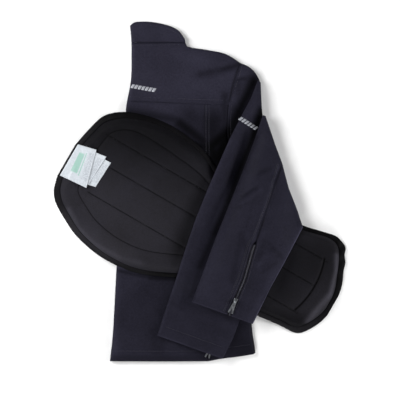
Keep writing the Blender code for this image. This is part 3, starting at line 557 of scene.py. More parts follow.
def ease(value, low, high):
    """Smooth step from 0 at low to 1 at high."""
    t = np.clip((np.asarray(value, float) - low) / (high - low), 0, 1)
    return t * t * (3 - 2 * t)


def closed(outline):
    """Outline with its first point again at its end."""
    return np.vstack([outline, outline[:1]])


def unit(vectors):
    """Vectors in rows brought to length one."""
    return vectors / np.maximum(np.hypot(vectors[:, 0], vectors[:, 1]), 1e-9)[:, None]


def inside(polygon, x, y):
    """Which points lie inside a closed outline."""
    result = np.zeros(np.shape(x), bool)
    x0, y0 = polygon[-1]
    for x1, y1 in polygon:
        if y1 != y0:
            crosses = (y0 > y) != (y1 > y)
            result ^= crosses & (x < (x1 - x0) * (y - y0) / (y1 - y0) + x0)
        x0, y0 = x1, y1
    return result


def edge_distance(line, x, y):
    """Distance from points to a polyline."""
    x = np.asarray(x, float)
    y = np.asarray(y, float)
    nearest = np.full(x.shape, 1e9)
    for (x0, y0), (x1, y1) in zip(line[:-1], line[1:]):
        length_squared = (x1 - x0) ** 2 + (y1 - y0) ** 2 + 1e-9
        t = np.clip(((x - x0) * (x1 - x0) + (y - y0) * (y1 - y0)) / length_squared, 0, 1)
        nearest = np.minimum(nearest, np.hypot(x - x0 - t * (x1 - x0), y - y0 - t * (y1 - y0)))
    return nearest


def offset_line(line, distance):
    """Polyline moved to its left by a distance, or to its right where that is negative."""
    points = np.asarray(line, float)
    direction = unit(np.gradient(points, axis=0))
    return points + np.column_stack([-direction[:, 1], direction[:, 0]]) * distance


def crease_heights(creases, x, y):
    """Soft ridges and troughs that fade out towards both ends, each a little bent."""
    total = np.zeros(np.shape(x))
    for k, (x0, y0, x1, y1, half_width, height) in enumerate(creases):
        length = math.hypot(x1 - x0, y1 - y0)
        along = ((x - x0) * (x1 - x0) + (y - y0) * (y1 - y0)) / length
        across = ((x - x0) * (y1 - y0) - (y - y0) * (x1 - x0)) / length
        across = across + 0.05 * length * np.sin(math.pi * along / length) * (-1) ** k
        fade = ease(along, -0.2 * length, 0.25 * length)
        fade = fade * (1 - ease(along, 0.7 * length, 1.2 * length))
        total += height * fade * np.exp(-(across / half_width) ** 2)
    return total * sizes().crease


def painted_shading_at(dark, light, x, y):
    """Share of its colour that cloth keeps: less under painted shade in recesses and creases, more
    under painted highlights on lit edges.
    """
    painted_shading = np.ones(np.shape(x))
    for spots, sign in ((dark, -1), (light, 1)):
        most = np.zeros(np.shape(x))
        for x0, y0, x1, y1, half_width, strength in spots:
            away = edge_distance([(x0, y0), (x1, y1)], x, y)
            most = np.maximum(most, strength * np.exp(-(away / half_width) ** 2))
        painted_shading *= 1 + sign * most
    return painted_shading


def wobble(x, y, seed, longest, height):
    """Slow unevenness of cloth that has been handled, as a sum of waves of unlike lengths."""
    dice = np.random.RandomState(seed)
    total = np.zeros(np.shape(x))
    for _ in range(12):
        length = longest * dice.uniform(0.3, 1.0)
        turn = dice.uniform(0, math.pi)
        phase = dice.uniform(0, 2 * math.pi)
        wave = (x * math.cos(turn) + y * math.sin(turn)) * 2 * math.pi / length
        total += length / longest * np.sin(wave + phase)
    return total * height / 3.5


# Heights read from the frame

def read_heights(names, upward=False):
    """Top, or underside, of the frame's nodes over the raster, nan where there is none."""
    heights = np.full(GRID_X.shape, np.nan)
    for name in names:
        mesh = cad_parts[name].data
        tree = BVHTree.FromPolygons([vertex.co for vertex in mesh.vertices],
                                    [face.vertices for face in mesh.polygons])
        low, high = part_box(name)
        columns = np.nonzero((RASTER_X >= low[0] / MM) & (RASTER_X <= high[0] / MM))[0]
        rows = np.nonzero((RASTER_Y >= low[1] / MM) & (RASTER_Y <= high[1] / MM))[0]
        start, ray = (-1.0, (0, 0, 1)) if upward else (1.0, (0, 0, -1))
        for i in rows:
            for j in columns:
                hit = tree.ray_cast((RASTER_X[j] * MM, RASTER_Y[i] * MM, start), ray)[0]
                if hit is None:
                    continue
                value = hit.z / MM
                known = heights[i, j]
                if np.isnan(known) or (value < known if upward else value > known):
                    heights[i, j] = value
    return heights


def blur(values, sigma):
    """Gaussian blur of the raster, with its border repeated."""
    reach = int(math.ceil(2.5 * sigma / CELL))
    weights = np.exp(-0.5 * (np.arange(-reach, reach + 1) * CELL / sigma) ** 2)
    weights /= weights.sum()
    for axis in (0, 1):
        padded = np.pad(values, [(reach, reach) if k == axis else (0, 0) for k in (0, 1)], "edge")
        size = values.shape[axis]
        values = sum(weight * np.take(padded, np.arange(k, k + size), axis=axis)
                     for k, weight in enumerate(weights))
    return values


def carry(heights, outline, margin, sigma):
    """Smooth height field from readings inside an outline, carried on past its edge."""
    keep = inside(outline, GRID_X, GRID_Y) & ~np.isnan(heights)
    keep &= edge_distance(closed(outline), GRID_X, GRID_Y) > margin
    known = np.where(keep, heights, 0.0)
    result = np.zeros(heights.shape)
    settled = np.zeros(heights.shape)
    for width in (sigma, 3 * sigma, 12 * sigma):
        share = blur(keep.astype(float), width)
        value = blur(known, width) / np.maximum(share, 1e-9)
        weight = (1 - settled) * ease(share, 0.002, 0.15)
        result += weight * value
        settled += weight
    return result / np.maximum(settled, 1e-6)


def sample(field, x, y):
    """Raster height between its cells."""
    column = np.clip((np.asarray(x, float) - RASTER_X[0]) / CELL, 0, len(RASTER_X) - 1.001)
    row = np.clip((np.asarray(y, float) - RASTER_Y[0]) / CELL, 0, len(RASTER_Y) - 1.001)
    i = row.astype(int)
    j = column.astype(int)
    fy = row - i
    fx = column - j
    low = field[i, j] * (1 - fx) + field[i, j + 1] * fx
    high = field[i + 1, j] * (1 - fx) + field[i + 1, j + 1] * fx
    return low * (1 - fy) + high * fy


# Materials

def linear(code):
    """Linear colour with alpha from an sRGB hex value."""
    channels = [int(code[i:i + 2], 16) / 255 for i in (0, 2, 4)]
    return (*[c / 12.92 if c <= 0.04045 else ((c + 0.055) / 1.055) ** 2.4 for c in channels], 1.0)


def new_material(name):
    """Empty node material with its Principled shader."""
    material = bpy.data.materials.new(name)
    material.use_nodes = True
    tree = material.node_tree
    return material, tree, tree.nodes["Principled BSDF"]


def add_node(tree, kind, links=None, **settings):
    """Add a node, set its properties or sockets, and link its sockets from other nodes."""
    return wire(tree, tree.nodes.new("ShaderNode" + kind), links, **settings)


def wire(tree, node, links=None, **settings):
    """Set a node and link it, from sockets or from the first output of other nodes."""
    for key, value in settings.items():
        if hasattr(node, key):
            setattr(node, key, value)
        else:
            node.inputs[key.replace("_", " ")].default_value = value
    for key, source in (links or {}).items():
        output = source if isinstance(source, bpy.types.NodeSocket) else source.outputs[0]
        tree.links.new(output, node.inputs[key])
    return node


def colour_ramp(tree, source, stops):
    """Ramp over a value, with sRGB hex colours at its stops."""
    ramp = add_node(tree, "ValToRGB", {"Fac": source})
    elements = ramp.color_ramp.elements
    while len(elements) < len(stops):
        elements.new(0.5)
    for element, (place, code) in zip(elements, stops):
        element.position = place
        element.color = linear(code)
    return ramp.outputs["Color"]


def shade(code, factor):
    """sRGB hex value made lighter or darker."""
    return "".join(f"{min(int(int(code[i:i + 2], 16) * factor), 255):02X}" for i in (0, 2, 4))


def thread_waves(tree, pitch_x, pitch_y, turn=0.0):
    """Two crossing sets of threads on the piece's own UV map, at pitches in metres."""
    mapping = add_node(tree, "Mapping", {"Vector": add_node(tree, "TexCoord").outputs["UV"]},
                       Rotation=(0, 0, turn))
    warp, weft = (add_node(tree, "TexWave", {"Vector": mapping}, wave_type="BANDS",
                           bands_direction=direction, wave_profile="SIN",
                           Scale=2 * math.pi / (20 * pitch), Distortion=0.6, Detail=1.0,
                           Detail_Scale=2.0).outputs["Fac"]
                  for direction, pitch in (("X", pitch_x), ("Y", pitch_y)))
    return add_node(tree, "Math", {0: warp, 1: weft}, operation="MULTIPLY")


def stitched_groove_shade(tree):
    """Painted shade in the pad's stitched grooves: share of colour kept at its stitched lines,
    from the distances in its mesh.
    """
    kept = None
    for name, strength, reach in (("quilt_straight", 0.66, 2.0), ("quilt_contour", 0.6, 2.0),
                                  ("quilt_arc", 0.85, 3.4)):
        read = add_node(tree, "Attribute", attribute_name=name)
        split = add_node(tree, "SeparateXYZ", {"Vector": read.outputs["Vector"]})
        away = add_node(tree, "Math", {0: split}, operation="ABSOLUTE")
        line = add_node(tree, "MapRange", {"Value": away}, interpolation_type="SMOOTHSTEP",
                        From_Min=0.3, From_Max=reach, To_Min=strength, To_Max=0.0)
        run = add_node(tree, "Math", {0: line, 1: split.outputs["Y"]}, operation="MULTIPLY")
        left = add_node(tree, "MapRange", {"Value": run}, To_Min=1.0, To_Max=0.0)
        kept = left if kept is None else add_node(tree, "Math", {0: kept, 1: left},
                                                  operation="MULTIPLY")
    return kept


def cloth_material(name, code, pitch_x, pitch_y, turn, depth, roughness, sheen, mottle=0.12,
                   groove_shade=False, glow="8C90AE"):
    """Cloth with threads, a slow unevenness of dye and nap, a soft sheen, and painted light and
    shade.
    """
    material, tree, shader = new_material(name)
    weave = thread_waves(tree, pitch_x, pitch_y, turn)
    place = add_node(tree, "TexCoord").outputs["Object"]
    slow = add_node(tree, "TexNoise", {"Vector": place}, Scale=1 / 0.055, Detail=3.0)
    fine = add_node(tree, "TexNoise", {"Vector": place}, Scale=1 / 0.0035, Detail=2.0)
    mix = add_node(tree, "Math", {0: slow, 1: fine}, operation="ADD")
    share = add_node(tree, "MapRange", {"Value": mix}, From_Min=0.7, From_Max=1.3)
    stops = [(0.0, shade(code, 1 - mottle)), (1.0, shade(code, 1 + mottle))]
    base = colour_ramp(tree, share, stops)
    dark = add_node(tree, "MapRange", {"Value": weave}, From_Min=0.0, From_Max=0.5, To_Min=0.72,
                    To_Max=1.06)
    # painted light and shade, stored at the mesh's points, scale the colour here
    painted_shading = add_node(tree, "Attribute", attribute_name="painted_shading").outputs["Fac"]
    kept = add_node(tree, "Math", {0: dark, 1: painted_shading}, operation="MULTIPLY")
    # painted shade in the pad's stitched grooves
    if groove_shade:
        kept = add_node(tree, "Math", {0: kept, 1: stitched_groove_shade(tree)}, operation="MULTIPLY")
    tint = add_node(tree, "VectorMath", {0: base, "Scale": kept}, operation="SCALE")
    gloss = add_node(tree, "MapRange", {"Value": share}, To_Min=roughness - 0.05,
                     To_Max=roughness + 0.05)
    bump = add_node(tree, "Bump", {"Height": weave}, Strength=0.7, Distance=depth)
    nap = add_node(tree, "Bump", {"Height": fine, "Normal": bump}, Strength=0.35, Distance=depth)
    wire(tree, shader, {"Base Color": tint, "Roughness": gloss, "Normal": nap},
         Specular_IOR_Level=0.03, Sheen_Weight=sheen, Sheen_Roughness=0.35,
         Sheen_Tint=linear(glow))
    return material


def grained_material(name, code, grain, detail, stops, bump=None, **settings):
    """Plain material with one fine grain in its colour and, where asked, in its bump."""
    material, tree, shader = new_material(name)
    place = add_node(tree, "TexCoord").outputs["Object"]
    speckle = add_node(tree, grain, {"Vector": place}, **detail)
    base = colour_ramp(tree, speckle, [(at, shade(code, factor)) for at, factor in stops])
    wire(tree, shader, {"Base Color": base}, **settings)
    if bump:
        rough = add_node(tree, "Bump", {"Height": speckle}, **bump)
        wire(tree, shader, {"Normal": rough})
    return material


def softshell_material():
    """Polyester softshell, woven and calendered: matt navy black with a faint blue sheen.

    Its threads are drawn at 0.7 mm, coarser than the real 0.3 mm, so that they show.
    """
    return cloth_material("softshell_polyester_woven", colours().softshell, 0.7 * MM, 0.7 * MM,
                          math.radians(45), 0.09 * MM, 0.6, 0.08)


def layers_material():
    """Knitted polyester backing: duller and darker than the outer cloth, with visible ribs."""
    return cloth_material("polyester_knit_backing", colours().lining, 1.0 * MM, 0.8 * MM, 0.0,
                          0.12 * MM, 0.75, 0.1)


def tricot_material():
    """Brushed nylon tricot over foam: soft, nearly black, with a short nap that lights up."""
    return cloth_material("nylon_tricot_brushed", colours().tricot, 1.1 * MM, 0.8 * MM, 0.0,
                          0.12 * MM, 0.62, 0.12, 0.08, groove_shade=True, glow="8A888E")


def tape_material():
    """Plain woven polyester tape: flat black with ribs across it, drawn at 1.2 mm."""
    return cloth_material("polyester_tape_ribbed", colours().tape, 1.2 * MM, 1.2 * MM, 0.0,
                          0.15 * MM, 0.55, 0.05)


def thread_material(name="polyester_thread_spun", code=None):
    """Spun polyester thread: twisted, a little lighter than the cloth and slightly glossy."""
    return grained_material(name, code or colours().thread, "TexNoise",
                            {"Scale": 1 / (0.9 * MM), "Detail": 1.0}, [(0.35, 0.7), (0.65, 1.2)],
                            {"Strength": 0.5, "Distance": 0.1 * MM}, Roughness=0.5,
                            Specular_IOR_Level=0.4)


def pad_thread_material():
    """The same spun thread in the black of the pad's tape, lost in its quilted grooves."""
    return thread_material("polyester_thread_black", colours().tape)


def soft_band(tree, value, low, high, soft=0.01):
    """Share from 0 to 1 between two places of a value, with soft edges."""
    rise = add_node(tree, "MapRange", {"Value": value}, interpolation_type="SMOOTHSTEP",
                    From_Min=low - soft, From_Max=low + soft)
    fall = add_node(tree, "MapRange", {"Value": value}, interpolation_type="SMOOTHSTEP",
                    From_Min=high - soft, From_Max=high + soft, To_Min=1.0, To_Max=0.0)
    return add_node(tree, "Math", {0: rise, 1: fall}, operation="MULTIPLY")


def soft_block(tree, across, along, columns, rows):
    """Share from 0 to 1 inside a soft-edged block of a label."""
    return add_node(tree, "Math", {0: soft_band(tree, across, *columns),
                                   1: soft_band(tree, along, *rows)}, operation="MULTIPLY")


def print_on(tree, below, mask, ink, strength):
    """Colour with ink printed over it where the mask is."""
    weight = add_node(tree, "Math", {0: mask}, operation="MULTIPLY")
    weight.inputs[1].default_value = strength
    mix = add_node(tree, "Mix", {"Factor": weight, "A": below}, data_type="RGBA")
    mix.inputs["B"].default_value = linear(ink)
    return mix.outputs["Result"]


def label_material():
    """Woven polyester satin with generic soft print: a pale green band and thin grey rules."""
    material, tree, shader = new_material("polyester_satin_printed")
    place = add_node(tree, "TexCoord")
    split = add_node(tree, "SeparateXYZ", {"Vector": place.outputs["UV"]})
    plan = split.outputs["X"], split.outputs["Y"]
    fibre = add_node(tree, "TexNoise", {"Vector": place.outputs["Object"]}, Scale=1 / (3 * MM),
                     Detail=2.0)
    code = colours().label
    base = colour_ramp(tree, fibre, [(0.3, shade(code, 0.93)), (0.7, code)])
    block = soft_block(tree, *plan, (0.26, 0.52, 0.02), (0.2, 0.76, 0.03))
    stripe = soft_block(tree, *plan, (0.57, 0.61), (0.16, 0.8))
    green = add_node(tree, "Math", {0: block, 1: stripe}, operation="MAXIMUM")
    rules = add_node(tree, "TexWave", {"Vector": place.outputs["UV"]}, wave_type="BANDS",
                     bands_direction="X", Scale=2 * math.pi / (20 * 0.045))
    sharp = add_node(tree, "MapRange", {"Value": rules.outputs["Fac"]}, From_Min=0.55,
                     From_Max=0.75)
    ragged = add_node(tree, "TexNoise", {"Vector": place.outputs["UV"]}, Scale=26.0, Detail=1.0)
    broken = add_node(tree, "MapRange", {"Value": ragged}, From_Min=0.42, From_Max=0.5)
    dashes = add_node(tree, "Math", {0: sharp, 1: broken}, operation="MULTIPLY")
    field = soft_block(tree, *plan, (0.7, 0.95), (0.12, 0.86))
    lines = add_node(tree, "Math", {0: dashes, 1: field}, operation="MULTIPLY")
    first = print_on(tree, base, green, colours().label_band, 0.85)
    second = print_on(tree, first, lines, colours().label_rule, 0.75)
    weave = thread_waves(tree, 0.02, 0.008)
    bump = add_node(tree, "Bump", {"Height": weave}, Strength=0.3, Distance=0.05 * MM)
    wire(tree, shader, {"Base Color": second, "Normal": bump}, Roughness=0.42, Sheen_Weight=0.1)
    return material


def reflective_material():
    """Bonded glass-bead film: flat silver grey with a grainy glint, drawn at 0.4 mm."""
    return grained_material("reflective_film_bonded", colours().reflective, "TexVoronoi",
                            {"Scale": 1 / (0.4 * MM)}, [(0.0, 1.25), (0.8, 0.75)],
                            {"Strength": 0.4, "Distance": 0.08 * MM, "invert": True},
                            Metallic=0.35, Roughness=0.38)


def coil_material():
    """Drawn nylon monofilament: dark grey, smooth and faintly glossy."""
    return grained_material("nylon_coil_moulded", colours().coil, "TexNoise",
                            {"Scale": 1 / (1.5 * MM), "Detail": 1.0},
                            [(0.3, 0.85), (0.7, 1.15)], Roughness=0.32)


def floor_material():
    """Matt paint on a studio floor, almost even."""
    return grained_material("painted_floor_matt", colours().floor, "TexNoise",
                            {"Scale": 40.0, "Detail": 2.0}, [(0.3, 0.985), (0.7, 1.0)],
                            Roughness=0.9, Specular_IOR_Level=0.1)


def metal_material():
    """Nickel-plated zinc die casting: bright grey with a fine tumbled grain and rubbed edges."""
    material, tree, shader = new_material("zinc_nickel_plated")
    place = add_node(tree, "TexCoord").outputs["Object"]
    grain = add_node(tree, "TexNoise", {"Vector": place}, Scale=1 / (0.8 * MM), Detail=3.0)
    rub = add_node(tree, "TexNoise", {"Vector": place}, Scale=1 / (5 * MM), Detail=2.0)
    code = colours().metal
    base = colour_ramp(tree, rub, [(0.35, shade(code, 0.82)), (0.6, shade(code, 1.08))])
    gloss = add_node(tree, "MapRange", {"Value": grain}, To_Min=0.2, To_Max=0.4)
    bump = add_node(tree, "Bump", {"Height": grain}, Strength=0.2, Distance=0.05 * MM)
    wire(tree, shader, {"Base Color": base, "Roughness": gloss, "Normal": bump}, Metallic=1.0)
    return material


def material(name):
    """Shared finish, made the first time that a piece asks for it."""
    makers = {
        "softshell": softshell_material,
        "layers": layers_material,
        "tricot": tricot_material,
        "tape": tape_material,
        "thread": thread_material,
        "pad_thread": pad_thread_material,
        "label": label_material,
        "reflective": reflective_material,
        "coil": coil_material,
        "metal": metal_material,
        "floor": floor_material,
    }
    if name not in finishes:
        finishes[name] = makers[name]()
    return finishes[name]


finishes = {}
fields = {}


# Meshes

def new_piece(name, points, faces, finish, uvs=None, shade=((), ())):
    """Smooth object from points in millimetres, faces and one UV pair for each point."""
    mesh = bpy.data.meshes.new(name)
    mesh.from_pydata((np.asarray(points) * MM).tolist(), [], faces)
    if uvs is not None:
        layer = mesh.uv_layers.new(name="UVMap")
        corners = np.zeros(len(mesh.loops), int)
        mesh.loops.foreach_get("vertex_index", corners)
        layer.data.foreach_set("uv", np.asarray(uvs, float)[corners].ravel())
    mesh.polygons.foreach_set("use_smooth", np.ones(len(mesh.polygons), bool))
    # painted light and shade from the given tables, stored at each point for the colour
    plan = np.asarray(points, float)
    add_values(mesh, "painted_shading", painted_shading_at(*shade, plan[:, 0], plan[:, 1]))
    mesh.materials.append(material(finish))
    piece = bpy.data.objects.new(name, mesh)
    bpy.context.scene.collection.objects.link(piece)
    return piece


def add_values(mesh, name, values):
    """One number, or three, for each point of a mesh."""
    kind, key = ("FLOAT", "value") if np.ndim(values) == 1 else ("FLOAT_VECTOR", "vector")
    mesh.attributes.new(name, kind, "POINT").data.foreach_set(key, np.ravel(values))


def grid_faces(columns, rows, around=False, ring=False, flip=False):
    """Quads of a grid of points, numbered column by column, closed either way where asked."""
    i, j = np.meshgrid(np.arange(columns if around else columns - 1),
                       np.arange(rows if ring else rows - 1), indexing="ij")
    after, above = (i + 1) % columns, (j + 1) % rows
    quads = np.stack([i * rows + j, after * rows + j, after * rows + above, i * rows + above], -1)
    quads = quads.reshape(-1, 4)
    return (quads[:, ::-1] if flip else quads).tolist()


def unroll(points):
    """UV of a grid in metres: lengths across each row and along the middle column."""
    across = np.sqrt(np.sum(np.diff(points, axis=0) ** 2, axis=2))
    u = np.concatenate([np.zeros((1, points.shape[1])), np.cumsum(across, axis=0)])
    v = line_lengths(points[points.shape[0] // 2])
    return np.stack([u, np.broadcast_to(v, u.shape)], -1) * MM


def sheet_piece(name, points, finish, wall, around=False, uvs=None, shade=((), ())):
    """Cloth from a grid of outer points, with its wall inside them."""
    columns, rows = points.shape[:2]
    top = np.unravel_index(np.argmax(points[1:-1, 1:-1, 2]), (columns - 2, rows - 2))
    i, j = top[0] + 1, top[1] + 1
    normal = np.cross(points[i + 1, j] - points[i - 1, j], points[i, j + 1] - points[i, j - 1])
    flat_uvs = (unroll(points) if uvs is None else uvs).reshape(-1, 2)
    piece = new_piece(name, points.reshape(-1, 3),
                      grid_faces(columns, rows, around, flip=normal[2] < 0), finish, flat_uvs,
                      shade)
    thicken(piece, wall)
    return piece


def pick(piece):
    """Make a piece the active one and the only one selected."""
    bpy.ops.object.select_all(action="DESELECT")
    piece.select_set(True)
    bpy.context.view_layer.objects.active = piece


def thicken(piece, wall):
    """Give a sheet its wall in millimetres, inside its outer points."""
    solid = piece.modifiers.new("wall", "SOLIDIFY")
    solid.thickness = wall * MM
    solid.offset = -1.0
    pick(piece)
    bpy.ops.object.modifier_apply(modifier=solid.name)


def orient_out(piece):
    """Make a closed piece's faces point outwards."""
    pick(piece)
    bpy.ops.object.mode_set(mode="EDIT")
    bpy.ops.mesh.select_all(action="SELECT")
    bpy.ops.mesh.normals_make_consistent(inside=False)
    bpy.ops.object.mode_set(mode="OBJECT")


def settle(piece, slot, *nodes, body="root"):
    """Put a finished piece on its body and hide the nodes that it stands for."""
    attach(piece, body)
    if nodes:
        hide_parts(*nodes)
    return piece


def scatter(name, template, origins, along, scale, finish):
    """One mesh of many copies of a small shape, each turned to its own place."""
    along = np.asarray(along, float)
    along = along / np.linalg.norm(along, axis=1)[:, None]
    side = unit(np.cross((0.0, 0.0, 1.0), along))
    lift = np.cross(along, side)
    shape = template["points"] * scale
    points = (np.asarray(origins)[:, None] + shape[None, :, 0, None] * along[:, None]
              + shape[None, :, 1, None] * side[:, None] + shape[None, :, 2, None] * lift[:, None])
    count = len(shape)
    faces = [[k * count + index for index in face]
             for k in range(len(origins)) for face in template["faces"]]
    return new_piece(name, points.reshape(-1, 3), faces, finish)


def bead_template(segments, rings):
    """A small rounded bead of unit size, modelled once, with its faces in one lasting order."""
    bpy.ops.object.select_all(action="DESELECT")
    bpy.ops.mesh.primitive_uv_sphere_add(segments=segments, ring_count=rings, radius=0.5)
    bead = bpy.context.object
    bpy.ops.object.mode_set(mode="EDIT")
    bpy.ops.mesh.select_all(action="SELECT")
    bpy.ops.transform.rotate(value=math.pi / 2, orient_axis="Y", orient_type="GLOBAL",
                             center_override=(0, 0, 0))
    bpy.ops.object.mode_set(mode="OBJECT")
    points = np.array([vertex.co[:] for vertex in bead.data.vertices])
    faces = [list(face.vertices) for face in bead.data.polygons]
    bpy.data.objects.remove(bead, do_unlink=True)
    starts = [face.index(min(face)) for face in faces]
    faces = sorted(face[start:] + face[:start] for face, start in zip(faces, starts))
    return {"points": points, "faces": faces}


def stitch_run(line, pitch, phase=0.5):
    """Middles and directions of stitches at an even pitch along a line of points."""
    along = line_lengths(line)
    count = max(int(along[-1] / pitch), 1)
    places = (np.arange(count) + phase) * along[-1] / count
    middle = np.column_stack([np.interp(places, along, line[:, k]) for k in range(3)])
    ahead = np.column_stack([np.interp(places + 0.5, along, line[:, k]) for k in range(3)])
    behind = np.column_stack([np.interp(places - 0.5, along, line[:, k]) for k in range(3)])
    return middle, ahead - behind


def sew(name, lines, finish="thread"):
    """Rows of stitches along lines of surface points, as one piece."""
    middles, directions = [], []
    for line in lines:
        middle, direction = stitch_run(np.asarray(line, float), sizes().stitch_pitch / MM)
        middles.append(middle)
        directions.append(direction)
    thread = sizes().thread / MM
    scale = np.array([sizes().stitch_length / MM, thread, thread])
    origins = np.vstack(middles) + (0, 0, 0.25 * thread)
    return scatter(name, bead_template(6, 5), origins, np.vstack(directions), scale, finish)


# Folded body

def stitch_lines():
    """Topstitching of the body as plan polylines, by name."""
    back = curve_points(BACK_SEAM, 90)
    armhole = np.vstack([curve_points(ARMHOLE, 40), curve_points(ARMHOLE_LOW, 20)[1:]])
    yoke = np.vstack([curve_points(YOKE_SEAM_LEFT, 60), curve_points(YOKE_SEAM_RIGHT, 20)[1:]])
    hem = np.vstack([curve_points(HEM_LEFT, 60), curve_points(HEM_RIGHT, 40)[1:]])
    neck = curve_points(NECK_SEAM, 40)
    return {
        "yoke": offset_line(yoke, STITCH_YOKE)[2:-1],
        "back": offset_line(back, STITCH_BACK),
        "back_close": offset_line(back, STITCH_BACK_CLOSE),
        "armhole": offset_line(armhole, STITCH_ARMHOLE),
        "neck": offset_line(neck, -STITCH_COLLAR)[3:],
        "hem": offset_line(hem, STITCH_HEM)[1:-4],
        "collar": offset_line(curve_points(COLLAR_TOP, 60), -STITCH_COLLAR_TOP)[4:-2],
    }


def body_surface(x, y):
    """Top of the folded body's cloth."""
    x = np.asarray(x, float)
    y = np.asarray(y, float)
    height = PANEL_TOP + crease_heights(BODY_CREASES, x, y) + wobble(x, y, BODY_SEED, *BODY_WOBBLE)
    for line in stitch_lines().values():
        away = edge_distance(line, x, y)
        ripple = PUCKER * np.sin((x + 0.7 * y) / 1.5) * np.exp(-(away / 6) ** 2)
        height = height - BODY_PRESS * np.exp(-(away / 1.4) ** 2) + ripple
    hem = np.vstack([curve_points(HEM_LEFT, 30), curve_points(HEM_RIGHT, 20)[1:]])
    turned = 1 - ease(edge_distance(hem, x, y), STITCH_HEM - 1, STITCH_HEM + 1)
    return height + BODY_HEM * turned


def border_stops(length, cell, near=(0.0, 0.45, 1.1, 2.2), start=None):
    """Places along a length: close together at its ends and evenly between."""
    first = list(near) if start is None else list(start)
    last = [length - value for value in near[::-1]]
    count = max(int((last[0] - first[-1]) / cell), 2)
    between = np.linspace(first[-1], last[0], count + 1)[1:-1]
    return np.array(first + list(between) + last)


def coons(left, right, bottom, top, s, t):
    """Plan points between four boundary curves at the shares s across and t along."""
    edge_left, edge_right = curve_at(left, t), curve_at(right, t)
    edge_bottom, edge_top = curve_at(bottom, s), curve_at(top, s)
    s = np.asarray(s)[:, None, None]
    t = np.asarray(t)[None, :, None]
    corner = [np.array(point, float) for point in (left[0], right[0], left[-1], right[-1])]
    ruled = (1 - s) * edge_left[None] + s * edge_right[None]
    cross = (1 - t) * edge_bottom[:, None] + t * edge_top[:, None]
    corners = ((1 - s) * (1 - t) * corner[0] + s * (1 - t) * corner[1]
               + (1 - s) * t * corner[2] + s * t * corner[3])
    return ruled + cross - corners


def edge_drop(away, depth, reach):
    """How far a cloth edge rolls down at a distance from it."""
    share = 1 - np.clip(away / reach, 0, 1)
    return depth * (1 - np.sqrt(np.maximum(1 - share ** 2, 0)))


SEAM_ROLL = (0.8, 1.7)      # depth and reach of a panel's edge at a seam
FREE_ROLL = (3.4, 4.0)      # depth and reach at a free edge
ROLL_ANGLES = np.radians([-70, -48, -28, -10, 8, 26, 44, 62, 78, 90])


def mean_length(first, second):
    """Mean length of two opposite edges."""
    return sum(line_lengths(curve_points(edge, 40))[-1] * 0.5 for edge in (first, second))


def body_panel(name, curves, rolls, rolled=False):
    """Cloth panel between its seams; rolls are for its right, bottom and top edges."""
    left, right, bottom, top = curves
    cell = sizes().mesh_cell / MM
    length = mean_length(left, right)
    width = mean_length(bottom, top)
    start = ROLL_WIDTH * (1 - np.cos(ROLL_ANGLES)) if rolled else None
    across = border_stops(width, cell, start=start)
    along = border_stops(length, cell)
    s = np.clip(across / width, 0 if rolled else SEAM / 2 / width, 1 - SEAM / 2 / width)
    t = np.clip(along / length, SEAM / 2 / length, 1 - SEAM / 2 / length)
    flat = coons(left, right, bottom, top, s, t)
    height = body_surface(flat[..., 0], flat[..., 1])
    for roll, away in zip(rolls, ((width - across)[:, None], along[None, :],
                                  (length - along)[None, :])):
        height = height - edge_drop(away, *roll)
    if rolled:
        count = len(ROLL_ANGLES)
        middle = (PANEL_TOP + FLOOR_GAP) / 2
        turn = np.sin(ROLL_ANGLES)[:, None]
        lift = height[:count] - PANEL_TOP
        height[:count] = middle + (PANEL_TOP - middle) * turn + lift * np.clip(turn, 0, 1)
    else:
        height = height - edge_drop(across[:, None], *SEAM_ROLL)
    # painted shade and painted light of the body go into the panel's colour
    return sheet_piece(name, np.dstack([flat, height]), "softshell", sizes().cloth_wall / MM,
                       shade=(BODY_PAINTED_SHADE, BODY_PAINTED_LIGHT))


def layered_cloth(name, outline, top, layers, finish):
    """Folded layers as one rounded piece: each layer bulges at the edge and is a little uneven."""
    rings = []
    points = np.asarray(outline, float)
    ahead = unit(np.gradient(np.vstack([points[-1:], points, points[:1]]), axis=0)[1:-1])
    following = np.roll(points, -1, axis=0)
    area = np.sum(points[:, 0] * following[:, 1] - following[:, 0] * points[:, 1])
    inward = np.column_stack([-ahead[:, 1], ahead[:, 0]]) * (1 if area > 0 else -1)
    along = line_lengths(points)
    step = top / layers
    for layer in range(layers):
        uneven = 0.9 + 0.8 * np.sin(along / 31 + 2.1 * layer) + 0.5 * np.sin(along / 11 + layer)
        for angle in np.radians([-80, -45, 0, 45, 80]):
            inset = 1.2 + uneven * 0.5 + 0.9 * (1 - math.cos(angle))
            height = step * (layer + 0.5 + 0.5 * math.sin(angle))
            ring = points + inward * inset[:, None]
            rings.append(np.column_stack([ring, np.full(len(ring), height)]))
    grid = np.array(rings).transpose(1, 0, 2)
    columns, rows = grid.shape[:2]
    faces = grid_faces(columns, rows, around=True)
    faces.append([i * rows for i in range(columns)][::-1])
    faces.append([i * rows + rows - 1 for i in range(columns)])
    uvs = np.stack([np.broadcast_to(along[:, None], (columns, rows)),
                    grid[..., 2]], -1).reshape(-1, 2) * MM
    piece = new_piece(name, grid.reshape(-1, 3), faces, finish, uvs)
    orient_out(piece)
    return piece


